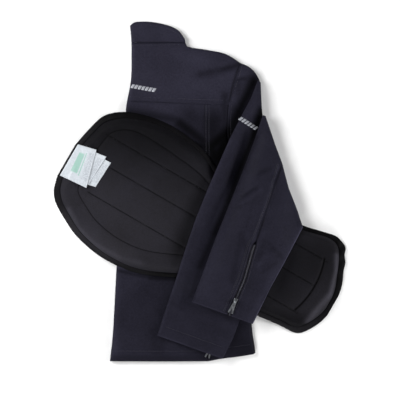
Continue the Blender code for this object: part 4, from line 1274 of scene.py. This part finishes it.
def core_outline():
    """Outline of the hidden layers, which start inside the roll of the centre back fold."""
    roll = ROLL_WIDTH + 0.6
    loop = np.concatenate([
        curve_points(FOLD_EDGE, 120) + (roll, 0),
        curve_points(COLLAR_TOP, 50),
        curve_points(SHOULDER_YOKE + SHOULDER_CAP[1:], 60),
        curve_points(CAP_EDGE, 40)[1:],
        curve_points(SIDE_EDGE[2:], 80),
        curve_points(HEM_RIGHT[::-1] + HEM_LEFT[-2::-1], 100)[1:],
    ])
    fold_x = np.interp(loop[:, 1], *np.array(FOLD_EDGE, float).T[::-1])
    kept = loop[loop[:, 0] > fold_x + roll - 0.5]
    steps = np.hypot(*(kept - np.roll(kept, 1, axis=0)).T)
    return kept[steps > 0.6]


def make_body():
    """Layers, four back panels, collar and sleeve cap."""
    layers = layered_cloth("folded_layers", core_outline(), CORE_TOP, 4, "layers")
    settle(layers, "lining", "body_core")
    yoke_fold = [YOKE_SEAM_LEFT[0]] + FOLD_EDGE[6:]
    lower_fold = FOLD_EDGE[:5] + [YOKE_SEAM_LEFT[0]]
    yoke_top = NECK_SEAM[:-1] + [NECK_END] + SHOULDER_YOKE
    yoke_bottom = YOKE_SEAM_LEFT[:-1] + YOKE_SEAM_RIGHT
    side = (ARMHOLE_LOW + SIDE_EDGE[1:])[::-1]
    armhole = (ARMHOLE + ARMHOLE_LOW[1:])[::-1]
    collar_top = COLLAR_TOP[:-2] + COLLAR_FRONT[-1:]
    panels = [
        ("yoke_cloth", "back_yoke", (yoke_fold, ARMHOLE[::-1], yoke_bottom, yoke_top),
         (SEAM_ROLL, SEAM_ROLL, FREE_ROLL), True, (0.225, 0.128)),
        ("centre_back_cloth", "back_centre_panel",
         (lower_fold, BACK_SEAM[::-1], HEM_LEFT, YOKE_SEAM_LEFT),
         (SEAM_ROLL, FREE_ROLL, SEAM_ROLL), True, (0.205, 0.525)),
        ("side_back_cloth", "back_side_panel", (BACK_SEAM[::-1], side, HEM_RIGHT[:-1],
                                               YOKE_SEAM_RIGHT),
         (FREE_ROLL, FREE_ROLL, SEAM_ROLL), False, (0.1, 0.515)),
        ("collar_cloth", "stand_collar", (COLLAR_FOLD, COLLAR_FRONT, NECK_SEAM, collar_top),
         (FREE_ROLL, SEAM_ROLL, FREE_ROLL), True, (0.118, 0.044)),
        ("sleeve_cap_cloth", "near_sleeve_cap", (armhole, CAP_EDGE[::-1], CAP_HEM, SHOULDER_CAP),
         (FREE_ROLL, SEAM_ROLL, FREE_ROLL), False, (0.067, 0.168)),
    ]
    for name, node, curves, rolls, rolled, flat in panels:
        piece = settle(body_panel(name, curves, rolls, rolled), "softshell", node)


# Sleeves

def lift_at(share, width):
    """Height of a flattened sleeve above its middle, from 0 at its edges to 1."""
    reach = np.clip(np.minimum(share, 1 - share) * width / SLEEVE_HALF, 0, 1)
    return np.sqrt(np.maximum(1 - (1 - reach) ** 2, 0))


def sleeve_place(row, middle, share, side, creases, seed):
    """Point on a flattened sleeve, over the top where side is 1 and underneath where it is -1."""
    left = np.array(row[0:2])
    right = np.array(row[2:4])
    width = math.hypot(*(right - left))
    place = left + (right - left) * share
    lift = float(lift_at(share, width))
    height = float(sample(middle, *place)) + side * SLEEVE_HALF * lift
    if side > 0:
        bend = float(crease_heights(creases, place[0], place[1]))
        height += lift * (bend + float(wobble(place[0], place[1], seed, *SLEEVE_WOBBLE)))
    return np.array([place[0], place[1], height])


def share_stops(width, count):
    """Shares across a sleeve, close together where it rolls round its edges."""
    near = np.array(NEAR_EDGE) / width
    between = np.linspace(near[-1], 1 - near[-1], count)[1:-1]
    return np.concatenate([near, between, 1 - near[::-1]])


def sleeve_outline(table):
    """Closed plan outline of a sleeve."""
    rows = [table_row(table, p) for p in np.linspace(0, len(table) - 1, 50)]
    return np.array([row[:2] for row in rows] + [row[2:4] for row in rows[::-1]])


def sleeve_middle(key, nodes, table):
    """Middle height of a sleeve, read once from its solids."""
    if key not in fields:
        fields[key] = carry(read_heights(nodes), sleeve_outline(table), 4.0, 5.0) - SLEEVE_HALF
    return fields[key]


def near_middle():
    """Middle height of the near sleeve."""
    return sleeve_middle("near", ["near_sleeve"], NEAR_SLEEVE)


def far_middle():
    """Middle height of the far sleeve."""
    return sleeve_middle("far", ["far_sleeve_front", "far_sleeve_elbow"], FAR_SLEEVE)


def cuff_edge(table):
    """Line across a sleeve's end."""
    return curve_points([table[-1][:2], table[-1][2:4]], 30)


def emboss(points, middle, lines, width, hem):
    """Press topstitching into a sleeve's top surface and thicken its turned hem."""
    x, y = points[..., 0], points[..., 1]
    top = points[..., 2] > sample(middle, x, y)
    for line in lines:
        away = edge_distance(np.asarray(line)[:, :2], x, y)
        points[..., 2] -= SLEEVE_PRESS * np.exp(-(away / width) ** 2) * top
    turned = 1 - ease(edge_distance(hem, x, y), STITCH_CUFF - 2, STITCH_CUFF)
    points[..., 2] += SLEEVE_PRESS * turned * top


def near_surface(x, y):
    """Top of the near sleeve's cloth away from its edges."""
    return (sample(near_middle(), x, y) + SLEEVE_HALF + crease_heights(NEAR_CREASES, x, y)
            + wobble(np.asarray(x, float), np.asarray(y, float), NEAR_SEED, *SLEEVE_WOBBLE))


def make_near_sleeve():
    """The near sleeve, one flattened tube with its hem."""
    middle = near_middle()
    last = len(NEAR_SLEEVE) - 1
    rings = []
    for position in border_stops(last, 0.055, near=NEAR_END):
        row = table_row(NEAR_SLEEVE, position)
        width = math.hypot(row[2] - row[0], row[3] - row[1])
        shares = share_stops(width, 40)
        ring = [sleeve_place(row, middle, share, 1, NEAR_CREASES, NEAR_SEED) for share in shares]
        ring += [sleeve_place(row, middle, share, -1, NEAR_CREASES, NEAR_SEED)
                 for share in shares[-2:0:-1]]
        rings.append(ring)
    points = np.array(rings).transpose(1, 0, 2)
    hem = cuff_edge(NEAR_SLEEVE)
    emboss(points, middle, [offset_line(hem, STITCH_CUFF)], 1.6, hem)
    # painted shade and painted highlights of the near sleeve go into its colour
    piece = sheet_piece("near_sleeve_cloth", points, "softshell", sizes().cloth_wall / MM,
                        around=True, shade=(NEAR_PAINTED_SHADE, NEAR_PAINTED_LIGHT))
    settle(piece, "softshell", "near_sleeve")


def far_row(position):
    """Far sleeve section: its edges, its width, and the shares where the two panels end."""
    row = table_row(FAR_SLEEVE, position)
    width = math.hypot(row[2] - row[0], row[3] - row[1])
    opening = ZIP_HALF * float(ease(position, ZIP_START - 0.05, ZIP_START + 0.15))
    over = 1 - (1 - row[4]) * float(np.clip((position - SEAM_START) / 0.25, 0, 1))
    gap = (SEAM / 2 + opening) / width
    return row, width, over - gap, over + gap


def far_place(row, share, side=1):
    """Point on the far sleeve."""
    return sleeve_place(row, far_middle(), share, side, FAR_CREASES, FAR_SEED)


def fold_wrap(row, turn, is_fold):
    """Point past the right edge: down the fold to the floor, or back under the free edge."""
    left = np.array(row[0:2])
    right = np.array(row[2:4])
    inward = (left - right) / math.hypot(*(right - left))
    start = float(sample(far_middle(), *right))
    bulge = right - inward * 1.2 * math.sin(math.pi * turn)
    down = np.array([*bulge, start + (FOLD_FOOT - start) * turn])
    place = right + inward * TURN_UNDER * turn
    height = float(sample(far_middle(), *place)) - SLEEVE_HALF * min(turn * 3, 1)
    under = np.array([*place, height])
    return down * is_fold + under * (1 - is_fold)


def seam_edge(row, width, seam, way, offsets):
    """Edge of a panel rolling down into the seam; way is -1 to its left and 1 to its right."""
    points = []
    for offset in offsets:
        point = far_place(row, seam + way * offset / width)
        point[2] -= float(edge_drop(offset, *SEAM_ROLL))
        points.append(point)
    return points


def make_far_sleeve():
    """Front and elbow panels of the far sleeve, and the hidden length under them."""
    last = len(FAR_SLEEVE) - 1
    offsets = (0.0, 0.3, 0.8, 1.4, 2.2)
    turns = (1.0, 0.8, 0.6, 0.4, 0.2)
    front = []
    for position in border_stops(last, 0.05, near=NEAR_END):
        row, width, seam, _ = far_row(position)
        near = np.array(NEAR_EDGE[::-1]) / width
        over = float(ease(position, SEAM_START + 0.05, SEAM_START + 0.13))
        if over < 1:
            column = [fold_wrap(row, turn * (1 - over), 1.0) for turn in turns]
            start = 1.0 - 0.3 / width
        else:
            column = seam_edge(row, width, seam, -1, offsets)
            start = seam - 4.0 / width
        column += [far_place(row, share) for share in np.linspace(start, near[0], 44)]
        column += [far_place(row, share) for share in near[1:]]
        column += [far_place(row, share, -1) for share in near[-2::-1]]
        column += [far_place(row, share, -1) for share in np.linspace(near[0], 0.88, 14)[1:]]
        front.append(column)
    front_points = np.array(front).transpose(1, 0, 2)
    stitches, hem = far_stitch_lines(), cuff_edge(FAR_SLEEVE)
    emboss(front_points, far_middle(), stitches, 1.3, hem)
    # painted shade and painted highlights of the far sleeve go into its colour
    piece = sheet_piece("far_sleeve_front_cloth", front_points, "softshell",
                        sizes().cloth_wall / MM, shade=(FAR_PAINTED_SHADE, FAR_PAINTED_LIGHT))
    settle(piece, "softshell", "far_sleeve_front")
    elbow = []
    first = SEAM_START + 0.1
    for position in border_stops(last - SEAM_START - 0.1, 0.05, near=NEAR_END) + first:
        row, width, _, seam = far_row(position)
        is_fold = 1 - float(ease(position, FOLD_END, FOLD_END + 0.15))
        free = max(1 - seam - 2.5 / width, 0.5 / width)
        shares = seam + 2.5 / width + free * np.linspace(0, 1, 22) ** 0.8
        column = seam_edge(row, width, seam, 1, offsets[:-1])
        column += [far_place(row, min(share, 1.0)) for share in shares]
        column += [fold_wrap(row, turn, is_fold) for turn in (0.12, 0.3, 0.5, 0.7, 0.85, 1.0)]
        elbow.append(column)
    elbow_points = np.array(elbow).transpose(1, 0, 2)
    emboss(elbow_points, far_middle(), stitches, 1.3, hem)
    # painted shade and painted highlights of the far sleeve go into its colour
    piece = sheet_piece("far_sleeve_elbow_cloth", elbow_points, "softshell",
                        sizes().cloth_wall / MM, shade=(FAR_PAINTED_SHADE, FAR_PAINTED_LIGHT))
    settle(piece, "softshell", "far_sleeve_elbow")
    fold = [table_row(FAR_SLEEVE, p)[2:4] for p in np.linspace(0, FOLD_END - 0.2, 70)]
    outline = np.concatenate([fold, curve_points(UNDER_INNER, 70)])
    hidden = layered_cloth("far_sleeve_hidden_cloth", outline, UNDER_TOP, 2, "softshell")
    settle(hidden, "softshell", "far_sleeve_under")


def far_stitch_lines():
    """Topstitching of the far sleeve: beside its seam and at both sides of the zip."""
    if "far_stitches" in fields:
        return fields["far_stitches"]
    last = len(FAR_SLEEVE) - 1
    lines = []
    for distance in STITCH_SLEEVE:
        line = []
        for position in np.linspace(SEAM_START + 0.12, last - 0.05, 120):
            row, width, seam, _ = far_row(position)
            line.append(far_place(row, seam - distance / width))
        lines.append(line)
    for way in (-1, 1):
        line = []
        for position in np.linspace(ZIP_START + 0.15, last - 0.05, 60):
            row, width, left, right = far_row(position)
            edge = left if way < 0 else right
            line.append(far_place(row, edge + way * STITCH_ZIP / width))
        lines.append(line)
    fields["far_stitches"] = lines
    return lines


# Protector

def pad_place(u, v):
    """Plan x and y of points in the pad's axes."""
    reach = np.array(PAD_ORIGIN, float) + np.multiply.outer(u, PAD_ALONG)
    return reach + np.multiply.outer(v, PAD_ACROSS)


def pad_grid(inset, stations=210, lanes=110):
    """Plan points of the pad for every station and lane, with their u and v."""
    turns = np.linspace(0, math.pi, stations)
    last = len(PAD_ROWS) - 1
    even = np.linspace(0, last, stations)
    positions = 0.75 * even + 0.25 * last * (1 - np.cos(turns)) / 2
    rows = np.array([smooth_row(PAD_ROWS, s) for s in positions])
    middle = (rows[0, 0] + rows[-1, 0]) / 2
    scale = 1 - 2 * inset / (rows[-1, 0] - rows[0, 0])
    u = middle + (rows[:, 0] - middle) * scale
    upper = rows[:, 1] - inset
    lower = rows[:, 2] + inset
    shares = 0.5 - 0.5 * np.cos(np.linspace(0, math.pi, lanes))
    shares = 0.45 * shares + 0.55 * np.linspace(0, 1, lanes)
    v = lower[:, None] + (upper - lower)[:, None] * shares[None]
    stations_u = np.repeat(u[:, None], lanes, axis=1)
    return pad_place(stations_u, v), stations_u, v


def grid_border(grid):
    """The closed border of a grid of points."""
    return np.concatenate([grid[:, 0], grid[-1, 1:], grid[-2::-1, -1], grid[0, -2:0:-1]])


def pad_base():
    """Underside of the protector, read from its solids."""
    if "pad" not in fields:
        heights = read_heights(["protector_pad", "protector_binding"], upward=True)
        outline = grid_border(pad_grid(0.0, 60, 30)[0])
        fields["pad"] = carry(heights, outline, 3.0, 6.0)
    return fields["pad"]


def groove(away, width):
    """A stitched channel: a sharp line in a soft valley, from 1 at the line to 0."""
    return 0.6 * np.exp(-np.abs(away) / (0.35 * width)) + 0.4 * np.exp(-(away / width) ** 2)


def quilt_distances(u, v, edge):
    """For each family of stitched lines: distance from the line and how far it runs, 0 to 1."""
    seams = np.array(PAD_SEAMS, float)
    nearest = np.argmin(np.abs(v[..., None] - seams[:, 0]), axis=-1)
    seam_v, first, last = np.moveaxis(seams[nearest], -1, 0)
    run = ease(u, first - 4, first + 4) * (1 - ease(u, last - 4, last + 4))
    bow = sum(height * ease(u, low, high) for height, low, high in CONTOUR_BOWS)
    rim = CONTOUR_INSET - BINDING - CONTOUR_LEAN * v + bow * ease(v, 10, 70)
    rim_run = ease(u, CONTOUR_START, CONTOUR_START + 24)
    rim_run = rim_run * (1 - ease(u, CONTOUR_END - 60, CONTOUR_END))
    arc = u - ARC_U + ARC_BOW * (v / ARC_HALF) ** 2
    arc_run = 1 - ease(np.abs(v), ARC_HALF, ARC_HALF + 6)
    return {"quilt_straight": (v - seam_v, run), "quilt_contour": (edge - rim, rim_run),
            "quilt_arc": (arc, arc_run)}


def pad_thickness(u, v, edge):
    """Foam thickness: a steep rim with its crown, a shallow fall inwards and the quilting."""
    shoulder = PAD_SHOULDER - 5 * ease(u, 380, 480)
    rise = 1 - (1 - np.clip(edge / shoulder, 0, 1)) ** 1.8
    thickness = PAD_EDGE + (PAD_CROWN - PAD_EDGE) * rise
    thickness = thickness - PAD_DISH * ease(edge, shoulder, shoulder + 20)
    pressed = np.zeros(np.shape(u))
    for name, (away, run) in quilt_distances(u, v, edge).items():
        width, depth = GROOVES[name]
        pressed = np.maximum(pressed, run * groove(away, width) * depth)
    swell = PAD_SWELL * (1 - (np.clip(v, -150, 130) / 150) ** 2) * ease(edge, 8, 60)
    uneven = wobble(u, v, PAD_SEED, *PAD_WOBBLE) * ease(edge, 2, 16)
    return thickness + swell + uneven - QUILT_DEPTH * pressed * ease(edge, 2, 12)


def pad_surface(x, y):
    """Top of the pad at plan points."""
    dx = np.asarray(x, float) - PAD_ORIGIN[0]
    dy = np.asarray(y, float) - PAD_ORIGIN[1]
    u = dx * PAD_ALONG[0] + dy * PAD_ALONG[1]
    v = dx * PAD_ACROSS[0] + dy * PAD_ACROSS[1]
    outline = grid_border(pad_grid(BINDING + SEAM, 120, 40)[0])
    edge = edge_distance(closed(outline), x, y)
    return sample(pad_base(), x, y) + pad_thickness(u, v, edge)


def closed_slab(name, bottom, top, finish, uvs):
    """Closed piece between two grids of points of the same size."""
    columns, rows = top.shape[:2]
    count = columns * rows
    faces = grid_faces(columns, rows)
    faces += [[index + count for index in face][::-1] for face in faces]
    loop = grid_border(np.arange(count).reshape(columns, rows))
    after = np.roll(loop, -1)
    faces += [[int(a), int(b), int(b) + count, int(a) + count] for a, b in zip(loop, after)]
    points = np.concatenate([top.reshape(-1, 3), bottom.reshape(-1, 3)])
    piece = new_piece(name, points, faces, finish, np.concatenate([uvs.reshape(-1, 2)] * 2))
    orient_out(piece)
    return piece


def make_protector():
    """Quilted foam pad."""
    place, u, v = pad_grid(BINDING + SEAM)
    base = pad_base()
    edge = edge_distance(closed(grid_border(place)), place[..., 0], place[..., 1])
    bottom = sample(base, place[..., 0], place[..., 1])
    top = bottom + pad_thickness(u, v, edge)
    piece = closed_slab("quilted_back_pad", np.dstack([place, bottom]), np.dstack([place, top]),
                        "tricot", np.stack([u, v], -1) * MM)
    # painted shade and painted highlights of the pad, for its top and bottom points
    painted_shading = painted_shading_at(PAD_PAINTED_SHADE, PAD_PAINTED_LIGHT, place[..., 0], place[..., 1])
    piece.data.attributes["painted_shading"].data.foreach_set("value", np.tile(painted_shading.ravel(), 2))
    for key, (away, run) in quilt_distances(u, v, edge).items():
        values = np.stack([away, run, np.zeros(u.shape)], -1).reshape(-1, 3)
        add_values(piece.data, key, np.concatenate([values, values]))
    settle(piece, "quilted_foam", "protector_pad")


# Section of the binding: share from the inner to the outer edge, rise and share of the ripple
BINDING_SECTION = [
    (-0.1, 0.4, 0.0), (0.5, 0.3, 0.0), (0.93, 0.2, 0.0), (1.0, 0.9, 0.3), (1.0, 1.7, 0.6),
    (0.95, 2.5, 0.8), (0.82, 3.4, 1.0), (0.6, 4.6, 1.0), (0.35, 5.6, 0.8), (0.12, 6.3, 0.4),
    (-0.05, 6.4, 0.0), (-0.1, 5.6, 0.0)]
BUNCH = (286, -124, 34)     # where the tape bunches: x, y and reach


def make_binding():
    """Woven tape folded round the pad's edge, bunched at the narrow end's outer corner."""
    inner = grid_border(pad_grid(BINDING, 260, 110)[0])
    outer = grid_border(pad_grid(0.0, 260, 110)[0])
    base = pad_base()
    along = line_lengths(closed(outer))[:-1]
    bunch_x, bunch_y, reach = BUNCH
    bunch = np.exp(-(np.hypot(outer[:, 0] - bunch_x, outer[:, 1] - bunch_y) / reach) ** 2)
    ripple = (0.25 + 1.3 * bunch) * np.sin(along / 4.1 + 0.8 * np.sin(along / 17))
    outer = outer + unit(outer - inner) * (bunch * 1.6 * np.sin(along / 5.3))[:, None]
    low = sample(base, outer[:, 0], outer[:, 1])
    high = sample(base, inner[:, 0], inner[:, 1])
    rings = []
    for share, rise, wave in BINDING_SECTION:
        plan = inner + (outer - inner) * share
        height = high + (low - high) * share + rise + ripple * wave
        rings.append(np.column_stack([plan, height]))
    points = np.array(rings).transpose(1, 0, 2)
    columns, rows = points.shape[:2]
    faces = grid_faces(columns, rows, around=True, ring=True)
    across = np.cumsum([0] + [2.0] * (rows - 1))
    uvs = np.stack([np.broadcast_to(along[:, None], (columns, rows)),
                    np.broadcast_to(across[None], (columns, rows))], -1) * MM
    # painted shade and painted light of the binding
    piece = new_piece("pad_binding_tape", points.reshape(-1, 3), faces, "tape",
                      uvs.reshape(-1, 2), (BINDING_PAINTED_SHADE, BINDING_PAINTED_LIGHT))
    orient_out(piece)
    settle(piece, "binding_tape", "protector_binding")


def make_labels():
    """Three layers of satin label sewn at the pad's edge, with their free ends a little raised."""
    top_heights = read_heights([name for name, _ in LABELS])
    spread = np.array([(-245, 96), (-175, 60), (-206, 6), (-228, 5), (-281, 30)], float)
    upper = carry(top_heights, spread, 1.5, 5.0)
    for level, (node, corners) in enumerate(LABELS):
        quad = np.array(corners, float)
        s = np.linspace(0, 1, 26)[:, None, None]
        t = np.linspace(0, 1, 34)[None, :, None]
        flat = ((1 - s) * (1 - t) * quad[0] + s * (1 - t) * quad[1]
                + s * t * quad[2] + (1 - s) * t * quad[3])
        drop = (len(LABELS) - 1 - level) * LABEL_STEP
        height = sample(upper, flat[..., 0], flat[..., 1]) - drop
        curl = 1.3 * ease(t[..., 0], 0.7, 1.0) * ease(s[..., 0], 0.55, 1.0)
        wave = 0.35 * np.sin(6 * s[..., 0] + 2 * level) * np.sin(5 * t[..., 0] + level)
        height = height + wave + curl * (0.4 + 0.3 * level)
        clear_of_pad = pad_surface(flat[..., 0], flat[..., 1]) + LABEL_CLEAR + LABEL_LIFT * level
        height = np.maximum(height, clear_of_pad + wave)
        uvs = np.stack(np.broadcast_arrays(s[..., 0], t[..., 0]), -1)
        points = np.dstack([flat, height])
        piece = sheet_piece(node.replace("label_care", "satin_label"), points, "label",
                            LABEL_WALL, uvs=uvs)
        settle(piece, "woven_label", node)


def make_trims():
    """Two silver reflective trims in slanted segments, bonded to the back and the sleeve."""
    for name, trim, surface in (("back_reflective_trim", BACK_TRIM, body_surface),
                                ("sleeve_reflective_trim", SLEEVE_TRIM, near_surface)):
        x, y, length, turn, count = trim
        angle = math.radians(turn)
        ahead = np.array([math.cos(angle), math.sin(angle)])
        side = np.array([-ahead[1], ahead[0]])
        pitch = length / count
        a, b = np.meshgrid(np.linspace(0, pitch * TRIM_FILL, 5),
                           np.linspace(-0.5, 0.5, 6) * TRIM_HEIGHT, indexing="ij")
        points, faces = [], []
        for k in range(count):
            reach = -length / 2 + k * pitch + a + TRIM_SLANT * b / TRIM_HEIGHT
            place = np.array([x, y]) + reach[..., None] * ahead + b[..., None] * side
            height = surface(place[..., 0], place[..., 1]) + TRIM_RISE
            faces += [[len(points) + index for index in face] for face in grid_faces(*a.shape)]
            points += np.dstack([place, height]).reshape(-1, 3).tolist()
        piece = new_piece(name, points, faces, "reflective")
        thicken(piece, FILM)
        settle(piece, "softshell")


# Zips

# Half section of the zip's tapes: distance from its middle and depth under the sleeve's top
TAPE_SECTION = [(0.4, 1.4), (1.2, 1.3), (1.6, 0.9), (2.6, 1.0), (3.6, 1.4), (4.4, 2.1), (5.4, 2.2)]
COIL_PITCH = 1.5
COIL_SWAY = 0.45
COIL_TOOTH = (3.4, 1.25, 1.3)


def zip_point(position, offset, depth):
    """Point beside the middle of the far sleeve's zip, at a depth under the sleeve's top."""
    row, width, _, _ = far_row(position)
    return far_place(row, row[4] + offset / width) - (0, 0, depth)


def make_zips():
    """Wrist zip: two tapes and a nylon coil; sliders and pulls keep their solids."""
    positions = np.linspace(ZIP_START + 0.12, len(FAR_SLEEVE) - 1, 70)
    section = [(-offset, depth) for offset, depth in TAPE_SECTION[::-1]] + TAPE_SECTION
    points = np.array([[zip_point(position, *place) for position in positions]
                       for place in section])
    tapes = sheet_piece("wrist_zip_tape", points, "tape", 0.7)
    settle(tapes, "zip_chain", "far_sleeve_zip")
    centre = [zip_point(position, 0.0, ZIP_SUNK + 0.25) for position in positions]
    middle, ahead = stitch_run(np.array(centre), COIL_PITCH)
    side = unit(np.cross((0.0, 0.0, 1.0), ahead))
    sway = np.where(np.arange(len(middle)) % 2 == 0, COIL_SWAY, -COIL_SWAY)[:, None]
    teeth = scatter("wrist_zip_coil", bead_template(8, 6), middle + side * sway, side,
                    np.array(COIL_TOOTH), "coil")
    settle(teeth, "zip_chain")
    for node in ("far_zip_slider", "far_zip_pull", "near_zip_slider", "near_zip_pull"):
        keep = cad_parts[node]
        keep.data.materials.clear()
        keep.data.materials.append(material("metal"))


# Sewing

def on_surface(line, surface):
    """Plan line lifted onto a surface."""
    fine = np.column_stack([np.interp(np.arange(0, line_lengths(line)[-1], 1.2),
                                      line_lengths(line), np.asarray(line)[:, k])
                            for k in range(2)])
    return np.column_stack([fine, surface(fine[:, 0], fine[:, 1])])


def make_stitches():
    """Topstitching of the body and sleeves, and the quilting of the pad."""
    lines = [on_surface(line, body_surface) for line in stitch_lines().values()]
    settle(sew("body_topstitching", lines), "softshell")
    cuff = on_surface(offset_line(cuff_edge(NEAR_SLEEVE), STITCH_CUFF)[2:-2], near_surface)
    settle(sew("near_sleeve_topstitching", [cuff]), "softshell")
    settle(sew("far_sleeve_topstitching", far_stitch_lines()), "softshell")
    quilt = []
    for seam_v, first, last in PAD_SEAMS:
        u = np.arange(first, last, 2.0)
        quilt.append(pad_place(u, np.full(len(u), float(seam_v))))
    v = np.arange(-ARC_HALF, ARC_HALF, 2.0)
    quilt.append(pad_place(ARC_U - ARC_BOW * (v / ARC_HALF) ** 2, v))
    lines = [on_surface(line, pad_surface) for line in quilt]
    settle(sew("pad_quilting", lines, "pad_thread"), "quilted_foam")


# Stage

def make_stage():
    """Pale floor, soft light from the left, right and front, and the camera straight above."""
    bpy.ops.mesh.primitive_plane_add(size=12.0, location=(0, 0, 0))
    floor = bpy.context.object
    floor.name = "studio_floor"
    floor.data.materials.append(material("floor"))
    world = bpy.data.worlds.new("soft_studio")
    world.use_nodes = True
    background = world.node_tree.nodes["Background"]
    background.inputs["Color"].default_value = linear("FFFFFF")
    background.inputs["Strength"].default_value = 0.12
    bpy.context.scene.world = world
    for name, place, size, power in LIGHTS:
        add_light(name, Vector(place), size, power)
    lens = bpy.data.cameras.new("photo_camera")
    lens.sensor_width = 36.0
    lens.lens = 36.0 * CAMERA_HEIGHT / VIEW_WIDTH
    lens.clip_end = 30.0
    camera = bpy.data.objects.new("photo_camera", lens)
    camera.location = (VIEW_MIDDLE[0] * MM, VIEW_MIDDLE[1] * MM, CAMERA_HEIGHT * MM)
    bpy.context.scene.collection.objects.link(camera)
    bpy.context.scene.camera = camera
    bpy.context.scene.view_settings.view_transform = "Standard"


def add_light(name, place, size, power):
    """Square soft light aimed at the middle of the jacket."""
    lamp = bpy.data.lights.new(name, "AREA")
    lamp.size = size
    lamp.energy = power
    holder = bpy.data.objects.new(name, lamp)
    holder.location = place
    holder.rotation_euler = (-place).to_track_quat("-Z", "Y").to_euler()
    bpy.context.scene.collection.objects.link(holder)


# Operators

class JacketStep:
    """Shared settings of the operators."""

    bl_options = {"REGISTER", "UNDO"}


class JACKET_OT_body(JacketStep, bpy.types.Operator):
    """Build the folded body: layers, yoke, back panels, collar and sleeve cap"""

    bl_idname = "jacket.body"
    bl_label = "Folded body"

    def execute(self, context):
        make_body()
        return {"FINISHED"}


class JACKET_OT_near_sleeve(JacketStep, bpy.types.Operator):
    """Build the near sleeve"""

    bl_idname = "jacket.near_sleeve"
    bl_label = "Near sleeve"

    def execute(self, context):
        make_near_sleeve()
        return {"FINISHED"}


class JACKET_OT_far_sleeve(JacketStep, bpy.types.Operator):
    """Build the far sleeve's two panels and its hidden length"""

    bl_idname = "jacket.far_sleeve"
    bl_label = "Far sleeve"

    def execute(self, context):
        make_far_sleeve()
        return {"FINISHED"}


class JACKET_OT_protector(JacketStep, bpy.types.Operator):
    """Build the quilted back protector"""

    bl_idname = "jacket.protector"
    bl_label = "Back protector"

    def execute(self, context):
        make_protector()
        return {"FINISHED"}


class JACKET_OT_binding(JacketStep, bpy.types.Operator):
    """Build the tape round the protector"""

    bl_idname = "jacket.binding"
    bl_label = "Protector binding"

    def execute(self, context):
        make_binding()
        return {"FINISHED"}


class JACKET_OT_labels(JacketStep, bpy.types.Operator):
    """Build the sewn labels"""

    bl_idname = "jacket.labels"
    bl_label = "Labels"

    def execute(self, context):
        make_labels()
        return {"FINISHED"}


class JACKET_OT_trims(JacketStep, bpy.types.Operator):
    """Build the reflective trims"""

    bl_idname = "jacket.trims"
    bl_label = "Reflective trims"

    def execute(self, context):
        make_trims()
        return {"FINISHED"}


class JACKET_OT_zips(JacketStep, bpy.types.Operator):
    """Build the wrist zip and finish the sliders and pulls"""

    bl_idname = "jacket.zips"
    bl_label = "Zips"

    def execute(self, context):
        make_zips()
        return {"FINISHED"}


class JACKET_OT_stitches(JacketStep, bpy.types.Operator):
    """Sew the topstitching and quilting"""

    bl_idname = "jacket.stitches"
    bl_label = "Stitching"

    def execute(self, context):
        make_stitches()
        return {"FINISHED"}


class JACKET_OT_stage(JacketStep, bpy.types.Operator):
    """Set the floor, the lights and the camera"""

    bl_idname = "jacket.stage"
    bl_label = "Stage"

    def execute(self, context):
        make_stage()
        return {"FINISHED"}


STEPS = (JACKET_OT_body, JACKET_OT_near_sleeve, JACKET_OT_far_sleeve, JACKET_OT_protector,
         JACKET_OT_binding, JACKET_OT_labels, JACKET_OT_trims, JACKET_OT_zips,
         JACKET_OT_stitches, JACKET_OT_stage)


class VIEW3D_PT_jacket(bpy.types.Panel):
    """Sidebar panel with the jacket's settings and steps"""

    bl_idname = "VIEW3D_PT_jacket"
    bl_label = "Folded riding jacket"
    bl_space_type = "VIEW_3D"
    bl_region_type = "UI"
    bl_category = "Jacket"

    def draw(self, context):
        layout = self.layout
        for settings in (context.scene.jacket_sizes, context.scene.jacket_colours):
            for name in settings.__annotations__:
                layout.prop(settings, name)
        for step in STEPS:
            layout.operator(step.bl_idname)


CLASSES = (JacketSizes, JacketColours, *STEPS, VIEW3D_PT_jacket)


def register():
    """Register the classes and the scene's settings."""
    for item in CLASSES:
        bpy.utils.register_class(item)
    bpy.types.Scene.jacket_sizes = bpy.props.PointerProperty(type=JacketSizes)
    bpy.types.Scene.jacket_colours = bpy.props.PointerProperty(type=JacketColours)


def unregister():
    """Remove the settings and the classes."""
    del bpy.types.Scene.jacket_sizes
    del bpy.types.Scene.jacket_colours
    for item in reversed(CLASSES):
        bpy.utils.unregister_class(item)


def main():
    """Build every piece in order."""
    register()
    bpy.ops.jacket.body()
    bpy.ops.jacket.near_sleeve()
    bpy.ops.jacket.far_sleeve()
    bpy.ops.jacket.protector()
    bpy.ops.jacket.binding()
    bpy.ops.jacket.labels()
    bpy.ops.jacket.trims()
    bpy.ops.jacket.zips()
    bpy.ops.jacket.stitches()
    bpy.ops.jacket.stage()


if __name__ == "__main__":
    main()
